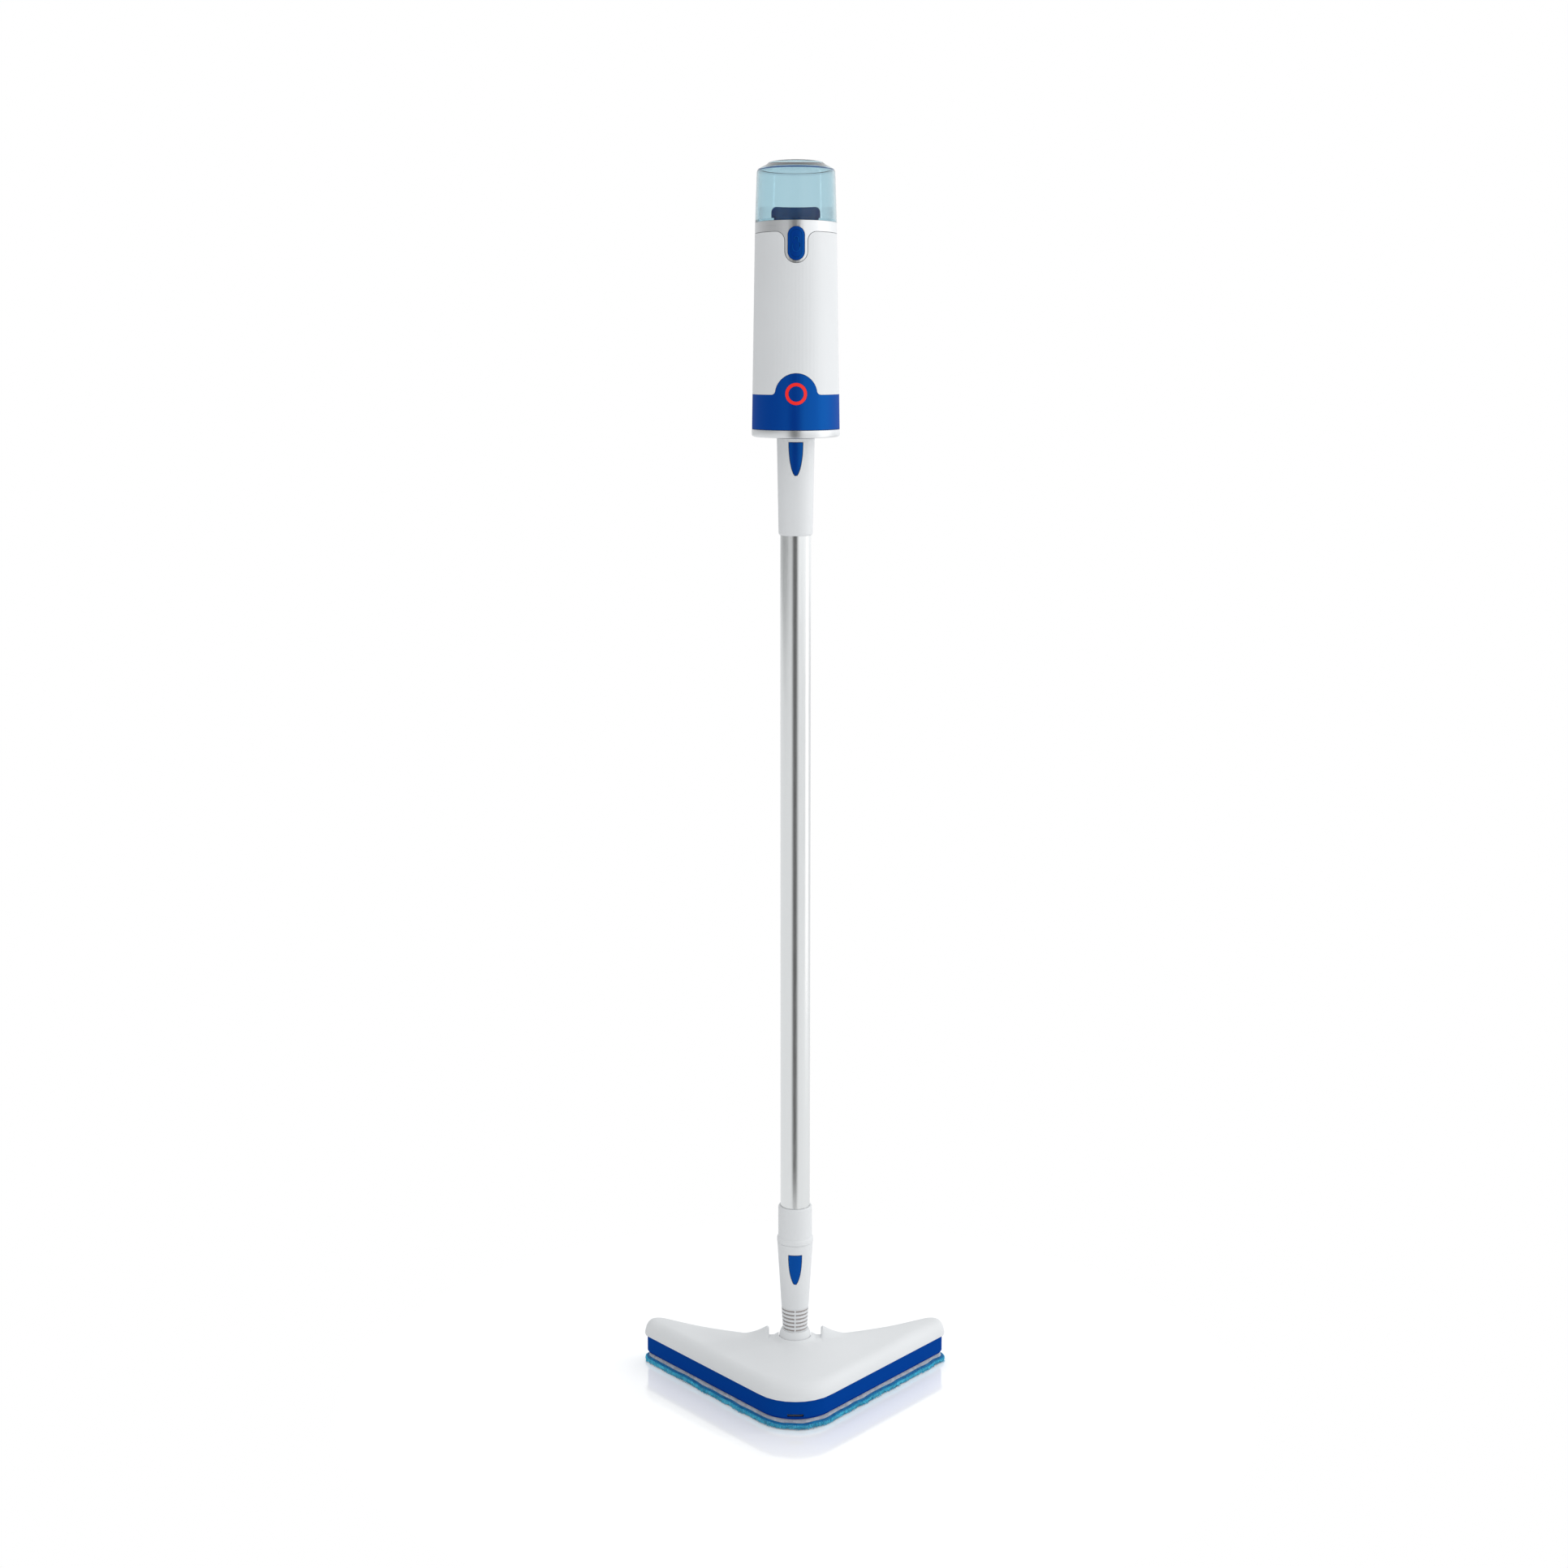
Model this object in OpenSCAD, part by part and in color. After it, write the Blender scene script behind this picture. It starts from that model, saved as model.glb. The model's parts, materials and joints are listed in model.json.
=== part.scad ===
// Steam mop: triangular floor head, jointed neck, aluminium pole and a
// detachable steam unit with a see-through water tank.
// Millimetres. +Z up, -Y is the front, origin on the floor under the pole.

/* [Head] */
// Overall width across the wing tips
head_w = 335.3; // [320:0.1:350]
// Distance from the pole axis to the front corner of the cover
head_front = 111; // [105:0.5:118]
// Radius of the front corner
corner_r = 48; // [40:1:56]
// Angle of each long side, measured from the width direction
side_angle = 50; // [48:0.5:52]
// Radius of each wing tip
tip_r = 15; // [13:0.5:17]
// Slope of the rear edge of each wing
rear_angle = 29.5; // [27:0.5:31]
// Distance from the pole axis to the rear edge between the wings
rear_mid = 20; // [18:0.5:24]
// Radius of the hollow where each rear edge meets the middle
rear_hollow_r = 60; // [50:1:70]
// Thickness of the microfibre mop pad
pad_h = 7; // [5:0.5:8]
// Thickness of the felt layer on top of the pad
felt_h = 3.2; // [2:0.2:4]
// Distance that the pad lies inside the cover edge
pad_inset = 3; // [2:0.5:5]
// Height of the skirt wall
skirt_h = 21.2; // [20:0.2:23]
// Distance that the skirt lies inside the cover edge
skirt_inset = 2.8; // [2:0.2:4]
// Chamfer along the bottom of the skirt
skirt_chamfer = 1.8; // [1:0.2:2]
// Wall of the skirt
skirt_wall = 2.4; // [2:0.2:3]
// Thickness of the sole plate
sole_t = 2.8; // [2:0.2:3.6]
// Radius of the steam holes in the sole plate
steam_hole_r = 1.6; // [1:0.1:2.2]
// Height of the cover over its lower edge, at the neck
cover_h = 25.4; // [23:0.2:28]
// Height of the cover over its lower edge, at the wing tips
cover_tip_h = 16.8; // [14:0.2:18]
// Radius of the rounded edge of the cover
cover_edge_r = 11; // [8:0.5:12]
// Wall of the cover
cover_wall = 2.4; // [2:0.2:3]
// Width of the notch behind the neck
notch_w = 56; // [54:0.5:60]
// Height of the two horns over the cover
horn_h = 7.6; // [4:0.2:9]

/* [Neck joint] */
// Height of the tilt axis above the floor
tilt_z = 44; // [42:0.5:46]
// Height of the sideways axis above the tilt axis
roll_up = 13.7; // [13:0.1:15]
// Outer radius of the joint ball
ball_r = 17.3; // [16.8:0.1:17.6]
// Wall of the joint ball
ball_wall = 3; // [2.4:0.1:3.2]
// Radius of the tilt axle
axle_r = 4; // [3.5:0.1:4.4]
// Radius of the sideways pin
roll_pin_r = 3; // [2.6:0.1:3.4]

/* [Neck] */
// Height of the top of the neck above the floor
neck_top_z = 167.2; // [160:0.2:172]
// Radius of the neck at its top
neck_top_r = 19.2; // [18.6:0.1:19.6]
// Radius of the neck at the top of the ball
neck_foot_r = 13.2; // [12.9:0.1:13.6]
// Length of the ribbed sleeve
sleeve_h = 26; // [24:0.5:28]
// Number of grooves in the ribbed sleeve
sleeve_ribs = 6; // [5:1:6]
// Distance from groove to groove
rib_pitch = 4.4; // [4:0.1:4.6]
// Height of each groove
rib_gap = 2; // [1.5:0.1:2.4]
// Depth of each groove
rib_depth = 1.4; // [1:0.1:1.8]
// Width of the spine left between the grooves
rib_spine = 1.6; // [1:0.1:2.4]

/* [Pole] */
// Length of bare pole between its two collars
pole_bare = 720; // [500:5:760]
// Outer radius of the pole
pole_r = 15.8; // [15.4:0.1:16]
// Wall of the pole
pole_wall = 1.2; // [1:0.1:1.6]
// Depth of the pole in its lower collar
low_seat = 22; // [18:1:26]
// Depth of the pole in its upper socket
top_seat = 27; // [22:1:30]
// Height of the lower collar
low_collar_h = 40.8; // [38:0.2:46]
// Outer radius of the lower collar
low_collar_r = 18.2; // [17.8:0.1:18.6]
// Outer radius of the ring bead on the lower collar
bead_r = 19.5; // [19.2:0.1:20]
// Height of the upper socket
socket_h = 98.7; // [94:0.1:104]
// Outer radius of the upper socket at its foot
socket_foot_r = 17.6; // [17.4:0.1:18]
// Outer radius of the upper socket at its top
socket_top_r = 19.3; // [19:0.1:19.8]
// Outer radius of the steam tube inside the pole
steam_r = 3.5; // [3:0.1:3.8]
// Wall of the steam tube
steam_wall = 1.2; // [0.8:0.1:1.4]

/* [Plug-in ends] */
// Radius of the spigots of the pole and of the steam unit
spigot_r = 11.5; // [11:0.1:11.8]
// Sliding clearance round each spigot
slide_gap = 0.3; // [0.25:0.01:0.4]
// Length of the spigot of the pole
pole_spigot = 39; // [34:0.5:44]
// Length of the spigot of the steam unit
unit_spigot = 64; // [58:0.5:64]
// Width of each release button
button_w = 14; // [13:0.1:15.6]
// Height of each release button
button_h = 33.5; // [30:0.5:35]
// Distance from the neck top to the top of its button
neck_button_drop = 10.6; // [8:0.2:12]
// Distance from the socket top to the top of its button
socket_button_drop = 3.8; // [3:0.2:5]
// Travel of each release button
button_travel = 1; // [0.8:0.1:1.2]
// Gap round each button
button_gap = 0.5; // [0.3:0.05:0.5]

/* [Steam unit] */
// Half width of the unit at the top of its base cap
unit_a = 44.6; // [43:0.1:46]
// Half depth of the unit divided by its half width
unit_depth_ratio = 1.45; // [1.35:0.01:1.5]
// Narrowing of the half width for each millimetre of height
unit_taper = 0.0176; // [0.01:0.001:0.022]
// Wall of the body shells
body_wall = 2.4; // [2:0.1:3]
// Height of the base cap
cap_h = 8; // [7:0.5:10]
// Height of the blue band
band_h = 34.5; // [30:0.5:40]
// Radius of the arch of the blue band
arch_r = 21; // [18:0.5:23]
// Radius of the hollow at each foot of the arch
arch_foot_r = 4; // [2:0.5:6]
// Height of the body between the band and the collar
body_h = 158.6; // [150:0.2:170]
// Height of the collar under the tank
collar_h = 10.4; // [9:0.1:13]
// Half width of the tongue of the collar
tongue_a = 11.1; // [10.8:0.1:12]
// Length of the tongue below the collar
tongue_h = 30.5; // [29:0.5:34]
// Radius of the hollow where the tongue meets the collar
tongue_foot_r = 9.5; // [7:0.5:11]
// Width of the tank lock button
lock_w = 16.4; // [15:0.1:17]
// Height of the tank lock button
lock_h = 32.2; // [30:0.1:33]
// Distance from the tongue tip to the lock button
lock_rise = 2.5; // [2.2:0.1:4]
// Travel of the tank lock button
lock_travel = 2; // [1:0.1:2.4]
// Outer radius of the indicator ring
ring_r = 10.8; // [9:0.1:12]
// Width of the indicator ring
ring_w = 3.2; // [2:0.1:4]

/* [Water tank] */
// Height of the visible part of the tank
tank_h = 60.5; // [54:0.5:68]
// Height of the shallow dome on top of the tank
tank_dome_h = 9.2; // [8:0.1:11]
// Narrowing of the tank for each millimetre of height
tank_taper = 0.036; // [0.02:0.001:0.045]
// Wall of the tank
tank_wall = 2.2; // [1.8:0.1:2.6]
// Radius of the filler cap
filler_r = 16; // [15:0.1:16.4]

/* [Handle] */
// Distance from the pole axis to the rear of the grip
handle_rear = 160.8; // [150:0.1:168]
// Height from the centre of the lower arm to that of the upper arm
handle_h = 138; // [130:1:146]
// Height of the lower arm above the bottom of the band
handle_up = 33.5; // [30:0.5:38]
// Half width of the grip
grip_a = 15; // [14:0.1:17]
// Half depth of the grip
grip_b = 14.5; // [13.5:0.1:15.5]
// Radius of the corners of the handle
handle_corner_r = 26; // [22:1:32]
// Wall of the handle shells
handle_wall = 2.6; // [2.2:0.1:3]
// Width of the back plate that carries the handle
spine_w = 54; // [48:0.5:58]
// Thickness of the back plate
spine_t = 5; // [4:0.1:6]
// Height of the back plate over the collar top
spine_over = 19; // [10:0.5:24]
// Width of the steam trigger
trigger_w = 12; // [10:0.1:13]
// Radius of the hole for the mains lead
inlet_r = 3.6; // [3:0.1:4]

/* [Hidden] */
fit = 0.05;            // running clearance of pins and axles
seat_gap = 0.3;        // clearance between separate bodies that face each other
snug = 0.1;            // clearance between pieces that are fixed together
seam = 0.45;           // visible joint line between shells of the steam unit
eps = 0.01;
far = 400;

// --- heights of the head ---
felt_z = pad_h;
sole_z = pad_h + felt_h + seat_gap;
skirt_z = sole_z;
cover_z = skirt_z + skirt_h + seat_gap;
crown_z = cover_z + cover_h;
tip_z = cover_z + cover_tip_h;
roll_z = tilt_z + roll_up;
ball_top_z = roll_z + 9.3;
ball_cut = 4.2;
notch_y = 8.8;
notch_floor_z = sole_z + 10;

// --- heights of the neck, pole and unit ---
sleeve_top_z = ball_top_z + snug + sleeve_h;
spigot_core_r = 11;
core_top_z = sleeve_top_z + 13;
web_h = 5;
cap_boss_h = 1.5;
cap_boss_r = 20.5;
collar_z = neck_top_z + seat_gap;
collar_top_z = neck_top_z + low_collar_h;
pole_z = collar_top_z - low_seat;
socket_z = collar_top_z + pole_bare;
pole_top_z = socket_z + top_seat;
socket_top_z = socket_z + socket_h;
socket_web_z = pole_top_z + snug;
unit_z = socket_top_z + seat_gap + cap_boss_h;
cap_top_z = unit_z + cap_h;
band_top_z = cap_top_z + band_h;
body_top_z = band_top_z + body_h;
collar2_top_z = body_top_z + collar_h;
total_h = collar2_top_z + tank_h;

pole_bore_r = pole_r + fit;
bore_r = spigot_r + slide_gap;
pocket_r = bore_r + 1.2;
button_back_r = pocket_r + 2;
plunger_r = 1.3;

ring_n = 72;           // points round each oval ring

// --- helpers ---
function arc(c, r, a0, a1, n) =
    [for (i = [0:n]) let (a = a0 + (a1 - a0)*i/n) [c[0] + r*cos(a), c[1] + r*sin(a)]];
function flip_x(p) = [for (i = [len(p)-1:-1:0]) [-p[i][0], p[i][1]]];
function smooth(t) = t*t*(3 - 2*t);
function clamp(v, lo, hi) = max(lo, min(hi, v));

// solid through rings of points; every ring has the same number of points
module loft(rings) {
    n = len(rings[0]);
    m = len(rings);
    points = [for (r = rings) each r];
    sides = [for (i = [0:m-2], j = [0:n-1]) let (k = (j + 1)%n)
        each [[i*n + j, (i+1)*n + j, (i+1)*n + k], [i*n + j, (i+1)*n + k, i*n + k]]];
    first = [[for (j = [0:n-1]) j]];
    last = [[for (j = [n-1:-1:0]) (m-1)*n + j]];
    polyhedron(points, concat(first, last, sides));
}

// coil spring along +Z from z = 0
module coil(r, wire, turns, h) {
    steps = 12;
    n = ceil(turns*steps);
    rise = h - 2*wire;
    rings = [for (i = [0:n]) let (a = 360*i/steps)
        [for (k = [0:5]) let (b = -60*k, q = r + wire*cos(b))
            [q*cos(a), q*sin(a), wire + rise*i/n + wire*sin(b)]]];
    loft(rings);
}

module tube(r, wall, h) {
    difference() {
        cylinder(r = r, h = h, $fn = 48);
        translate([0, 0, -1]) cylinder(r = r - wall, h = h + 2, $fn = 48);
    }
}

// --- outline of the head, as if pushed in by "inset" all round ---
side_n = side_angle - 90;
corner_y = corner_r - head_front;
side_d = sin(side_n)*corner_y + corner_r;
tip_x = head_w/2 - tip_r;
tip_y = (side_d - tip_r - cos(side_n)*tip_x)/sin(side_n);
rear_n = 90 + rear_angle;
rear_d = cos(rear_n)*tip_x + sin(rear_n)*tip_y + tip_r;
hollow_y = rear_mid + rear_hollow_r;
hollow_x = (rear_d + rear_hollow_r - sin(rear_n)*hollow_y)/cos(rear_n);

function outline_right(inset) = concat(
    arc([0, corner_y], corner_r - inset, -90, side_n, 10),
    arc([tip_x, tip_y], tip_r - inset, side_n, rear_n, 16),
    arc([hollow_x, hollow_y], rear_hollow_r + inset, rear_n - 180, -90, 5));
function outline(inset) = concat(outline_right(inset),
    [for (p = flip_x(outline_right(inset))) if (abs(p[0]) > eps) p]);

module plate(inset, z, h) {
    translate([0, 0, z]) linear_extrude(h) polygon(outline(inset));
}

// front and rear edge of the outline at a given x
function front_y(x, inset) = let (q = abs(x), t = (corner_r - inset)*cos(side_n),
        s = tip_x + (tip_r - inset)*cos(side_n), r = tip_r - inset)
    q < t ? corner_y - sqrt(pow(corner_r - inset, 2) - q*q)
    : q < s ? (side_d - inset - cos(side_n)*q)/sin(side_n)
    : tip_y - sqrt(max(0, r*r - pow(q - tip_x, 2)));
function rear_y(x, inset) = let (q = abs(x), t = tip_x + (tip_r - inset)*cos(rear_n),
        s = hollow_x - (rear_hollow_r + inset)*cos(rear_n), r = tip_r - inset)
    q < hollow_x ? rear_mid - inset
    : q < s ? hollow_y - sqrt(pow(rear_hollow_r + inset, 2) - pow(q - hollow_x, 2))
    : q < t ? (rear_d - inset - cos(rear_n)*q)/sin(rear_n)
    : tip_y + sqrt(max(0, r*r - pow(q - tip_x, 2)));

// height of the cover over its lower edge, by distance from the middle
function crown(x) = let (w = smooth(clamp(1 - abs(x)/(head_w*0.36), 0, 1)))
    cover_tip_h + (cover_h - cover_tip_h)*w;

// one upright slice of the cover: an arch from its front edge to its rear edge
function slice(x, inset, z0) =
    let (left = max(0, head_w/2 - inset - abs(x)),
        k = max(0.15, sqrt(1 - pow(1 - min(1, left/cover_edge_r), 2))),
        y0 = front_y(x, inset), y1 = rear_y(x, inset), chord = y1 - y0,
        front_h = (cover_tip_h - inset)*k, top_h = (crown(x) - inset)*k,
        front_w = min(1.7*cover_edge_r, 0.48*chord),
        rear_w = min(1.3*cover_edge_r, 0.48*chord), lip = min(1.5, front_h/2))
    concat([[x, y0, z0]],
        [for (i = [0:5]) let (a = 90*i/5)
            [x, y0 + front_w*(1 - cos(a)), z0 + lip + (front_h - lip)*sin(a)]],
        [for (i = [1:4]) let (t = i/4) [x, y0 + front_w + (chord - front_w - rear_w)*t,
            z0 + front_h + (top_h - front_h)*smooth(min(1, 1.25*t))]],
        [for (i = [1:5]) let (a = 90*i/5)
            [x, y1 - rear_w*(1 - sin(a)), z0 + lip + (top_h - lip)*cos(a)]],
        [[x, y1, z0]]);

module cover_form(inset, z0) {
    half = head_w/2 - inset - 2*eps;
    loft([for (a = [90:-3.75:-90]) slice(half*(0.8*sin(a) + a/450), inset, z0)]);
}

// the space behind the neck, cut into the cover and the skirt
module notch(grow, floor_z) {
    translate([-notch_w/2 - grow, notch_y - grow, floor_z - grow])
        cube([notch_w + 2*grow, 60, 60]);
}

// the way of the joint ball, from upright to tilted back
module ball_way(floor_z) {
    r = ball_r + 0.45;
    translate([0, 0, floor_z]) cylinder(r = r, h = 60, $fn = 64);
    translate([-r, 0, floor_z]) cube([2*r, 20, 60]);
}

// --- outline of the steam unit ---
function unit_half(z) = unit_a - (z - cap_top_z)*unit_taper;
function oval(a, b, z) = [for (i = [0:ring_n-1]) let (t = 360*i/ring_n) [a*cos(t), b*sin(t), z]];
function unit_ring(z, out) = oval(unit_half(z) + out, unit_half(z)*unit_depth_ratio + out, z);
function unit_y(z) = unit_half(z)*unit_depth_ratio;
module unit_solid(z0, z1, out) {
    loft([unit_ring(z0, out), unit_ring(z1, out)]);
}
module unit_shell(z0, z1, outer, inner) {
    difference() {
        unit_solid(z0, z1, outer);
        unit_solid(z0 - 1, z1 + 1, inner);
    }
}
// flat shape pushed through the front half, or the rear half, of the unit
module to_front() { rotate([90, 0, 0]) linear_extrude(100) children(); }
module to_rear() { rotate([90, 0, 0]) translate([0, 0, -100]) linear_extrude(100) children(); }

// arch that rises out of the blue band
module arch_shape(grow) {
    r = arch_r + grow;
    f = arch_foot_r - grow;
    x = sqrt(pow(r + f, 2) - f*f);
    translate([0, band_top_z + grow]) {
        circle(r = r, $fn = 64);
        difference() {
            translate([-x, -5]) square([2*x, 5 + f*r/(r + f)]);
            for (s = [-1, 1]) translate([s*x, f]) circle(r = f, $fn = 32);
        }
    }
}

// tongue that hangs from the collar round the lock button
module tongue_shape(grow) {
    a = tongue_a + grow;
    f = tongue_foot_r - grow;
    low = body_top_z - tongue_h + tongue_a;
    top = body_top_z - grow;
    translate([0, low]) circle(r = a, $fn = 48);
    translate([-a, low]) square([2*a, top - low + 1 + grow]);
    difference() {
        translate([-a - f, top - f]) square([2*(a + f), f + 1 + grow]);
        for (s = [-1, 1]) translate([s*(a + f), top - f]) circle(r = f, $fn = 48);
    }
}

module oblong(w, h, z, grow) {
    r = w/2 + grow;
    translate([0, z + w/2]) circle(r = r, $fn = 48);
    translate([0, z + h - w/2]) circle(r = r, $fn = 48);
    translate([-r, z + w/2]) square([2*r, h - w]);
}

// --- release buttons of the neck and of the upper socket ---
// flat top, sides that curve in to a narrow rounded point
module shield(top_z, grow) {
    n = 12;
    half = [for (i = [0:n]) let (t = 0.985*sin(90*i/n))
        [(button_w/2)*pow(1 - pow(t, 2.2), 0.62) + grow, top_z + grow - t*(button_h + 2*grow)]];
    polygon(concat(half, flip_x(half)));
}
module button_pocket(top_z) {
    difference() {
        to_front() shield(top_z, button_gap);
        translate([0, 0, top_z - far/2]) cylinder(r = pocket_r, h = far, $fn = 64);
    }
    translate([0, 0, top_z - button_h*0.4]) rotate([90, 0, 0])
        cylinder(r = plunger_r + seat_gap, h = pocket_r + 2, $fn = 24);
}
// r0 and r1 are the radii of the surface round it at z0 and z1
module release_button(top_z, z0, z1, r0, r1) {
    intersection() {
        to_front() shield(top_z, 0);
        difference() {
            translate([0, 0, z0]) cylinder(r1 = r0 + 0.2, r2 = r1 + 0.2, h = z1 - z0, $fn = 96);
            translate([0, 0, z0 - 1]) cylinder(r = button_back_r, h = z1 - z0 + 2, $fn = 64);
        }
    }
    translate([0, 0, top_z - button_h*0.4]) rotate([90, 0, 0]) translate([0, 0, bore_r + snug])
        cylinder(r = plunger_r, h = button_back_r - bore_r + 0.5, $fn = 24);
}
module release_spring(top_z) {
    r = 2.6;
    wire = 0.2;
    translate([0, -pocket_r, top_z - button_h*0.4]) rotate([90, 0, 0])
        coil(r, wire, 1.5, sqrt(pow(button_back_r, 2) - pow(r + wire, 2)) - pocket_r - snug);
}
// groove in a spigot for the tip of the button's plunger
module spigot_groove(z0, top_z) {
    depth = button_travel + 0.3;
    translate([-plunger_r - 0.9, -spigot_r - 1, z0 - 1])
        cube([2*plunger_r + 1.8, depth + 1, top_z - button_h*0.4 + 4 - z0 + 1]);
}
neck_button_top = neck_top_z - neck_button_drop;
socket_button_top = socket_top_z - socket_button_drop;

// ================= head =================
module mop_pad() {
    color("#2f9fd0") plate(pad_inset, 0, pad_h);
}
module pad_felt() {
    color("#c9cdd1") plate(pad_inset + 3, felt_z, felt_h);
}

screw_spots = [for (s = [-1, 1], p = [[0.36, 38], [0.17, 2]]) [s*p[0]*head_w, p[1]]];
steam_inset = 24;
steam_x = [for (i = [-4:4]) if (i != 0) i*0.075*head_w];
function steam_y(x) = front_y(x, steam_inset);
manifold_y = -52;        // steam inlet of the head

module sole_plate() {
    color("#e8eaec") difference() {
        plate(skirt_inset + skirt_wall + snug, sole_z, sole_t);
        for (x = steam_x) translate([x, steam_y(x), sole_z - 1])
            cylinder(r = steam_hole_r, h = sole_t + 2, $fn = 24);
        for (p = screw_spots) translate([p[0], p[1], sole_z - 1]) {
            cylinder(r = 1.6, h = sole_t + 2, $fn = 24);
            cylinder(r = 3.3, h = 2.6, $fn = 24);
        }
    }
}
module skirt() {
    edge = skirt_chamfer*1.4;
    inner = skirt_inset + skirt_wall;
    module ring(inset, z) {
        loft([for (q = [z, z + edge]) [for (p = outline(q == z ? inset + skirt_chamfer : inset))
            [p[0], p[1], q]]]);
    }
    color("#0a3a93") difference() {
        union() {
            ring(skirt_inset, skirt_z);
            plate(skirt_inset, skirt_z + edge, skirt_h - edge);
        }
        difference() {
            plate(inner, skirt_z - 1, skirt_h + 2);
            notch(skirt_wall, notch_floor_z);
        }
        notch(0, notch_floor_z);
        ball_way(notch_floor_z + 4);
        translate([-8.5, -head_front, skirt_z + 3.2]) cube([17, inner + 2, 3]);
    }
}
// the cover's own surface near its rear edge
function rear_top(x, y) = let (q = clamp(1 - (rear_y(x, 0) - y)/(1.3*cover_edge_r), 0, 1))
    cover_z + 1.5 + (crown(x) - 1.5)*sqrt(1 - q*q);
// a horn grows out of the cover towards the rear: k is 0 where it starts and 1 at its full height
function horn_top(x, y, k) = let (foot = notch_w/2 + 28, peak = notch_w/2 + 3,
        full = cover_z + crown(x) + horn_h*pow((foot - max(x, peak))/(foot - peak), 1.8))
    rear_top(x, y) - 1.5*(1 - k) + (full - rear_top(x, y))*k;
function horn_slice(y, k) = let (a = notch_w/2 + 0.4, low = cover_z + 6)
    concat([[a, y, low]],
        [for (i = [0:5]) let (t = 15*i + 5)
            [a + 2.6*(1 - cos(t)), y, horn_top(a + 2.6, y, k) - 2.6*k*(1 - sin(t))]],
        [for (x = [4.5:2.5:27]) [a + x, y, horn_top(a + x, y, k)]],
        [[a + 27, y, low]]);
module horns() {
    rise = [[-14, 0], [-9, 0.05], [-4, 0.2], [0, 0.42], [4, 0.7], [8, 0.92], [12, 1], [15, 0.97],
        [17.5, 0.88], [rear_mid - 0.6, 0.7]];
    for (s = [-1, 1]) scale([s, 1, 1]) loft([for (r = rise) horn_slice(r[0], r[1])]);
}
// sloping lip of the cover round the joint ball
module neck_lip() {
    translate([0, 0, crown_z - 1]) cylinder(r1 = ball_r + 6.2, r2 = ball_r + 1.2, h = 3.2, $fn = 96);
}
module head_cover() {
    color("#eef0f1") difference() {
        union() {
            cover_form(0, cover_z);
            horns();
            neck_lip();
            for (p = screw_spots) translate([p[0], p[1], sole_z + sole_t + snug])
                cylinder(r = 4, h = skirt_h - sole_t + 4, $fn = 32);
        }
        difference() {
            cover_form(cover_wall, cover_z - eps);
            notch(cover_wall, notch_floor_z);
            for (p = screw_spots) translate([p[0], p[1], 0]) cylinder(r = 4, h = far/2, $fn = 32);
        }
        notch(0, notch_floor_z);
        for (p = screw_spots) translate([p[0], p[1], 0]) cylinder(r = 1.55, h = cover_z + 3, $fn = 24);
        ball_way(notch_floor_z);
    }
}
module head_screws() {
    color("silver") for (p = screw_spots) translate([p[0], p[1], sole_z]) {
        cylinder(r = 3.1, h = 1.5, $fn = 24);
        cylinder(r = 1.5, h = 16, $fn = 24);
    }
}
lug_x = ball_r + 1;
lug_w = 6.5;
module pivot_frame() {
    base_z = sole_z + sole_t;
    color("#d5d8db") difference() {
        union() {
            translate([-lug_x - lug_w, -26, base_z]) cube([2*(lug_x + lug_w), 32, 4]);
            for (s = [-1, 1]) translate([s*(lug_x + lug_w/2) - lug_w/2, -6, base_z])
                cube([lug_w, 12, tilt_z - base_z]);
            for (s = [-1, 1]) translate([s*(lug_x + lug_w/2) - lug_w/2, 0, tilt_z])
                rotate([0, 90, 0]) cylinder(r = 6, h = lug_w, $fn = 48);
        }
        translate([-40, 0, tilt_z]) rotate([0, 90, 0]) cylinder(r = axle_r, h = 80, $fn = 48);
    }
}
module tilt_axle() {
    color("silver") translate([-lug_x - lug_w, 0, tilt_z]) rotate([0, 90, 0])
        cylinder(r = axle_r - fit, h = 2*(lug_x + lug_w), $fn = 48);
}
module steam_manifold() {
    base_z = sole_z + sole_t;
    apex_y = (side_d - steam_inset)/sin(side_n);
    run = 0.3*head_w/cos(side_angle);
    module arms(w, h) {
        for (a = [side_angle, 180 - side_angle]) translate([0, apex_y, base_z]) rotate([0, 0, a])
            translate([6, -w/2, -eps]) cube([run, w, h]);
    }
    color("#bfc4c8") difference() {
        union() {
            translate([0, 0, eps]) arms(12, 7);
            translate([-12, manifold_y - 42, base_z]) cube([24, 50, 9]);
            translate([0, manifold_y, base_z]) cylinder(r = 3.2, h = 17, $fn = 32);
        }
        arms(8, 5);
        translate([0, manifold_y, base_z - eps]) cylinder(r = 1.8, h = 30, $fn = 24);
        translate([-8, manifold_y - 38, base_z - eps]) cube([16, 42, 6]);
    }
}
module head_hose() {
    low_z = sole_z + sole_t + 9 + snug;
    bend_z = tilt_z - 8;
    run = -16 - manifold_y;
    color("#9fb7c4") translate([0, manifold_y, 0]) difference() {
        union() {
            translate([0, 0, low_z]) cylinder(r = 4.6, h = bend_z - low_z, $fn = 32);
            translate([0, 0, bend_z]) sphere(r = 4.6, $fn = 32);
            translate([0, 0, bend_z]) rotate([-90, 0, 0]) cylinder(r = 4.6, h = run, $fn = 32);
        }
        translate([0, 0, low_z - 1]) cylinder(r = 3.25, h = bend_z - low_z + 1, $fn = 32);
        translate([0, 0, bend_z]) rotate([-90, 0, 0]) cylinder(r = 2.6, h = run + 1, $fn = 32);
    }
}

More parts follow.
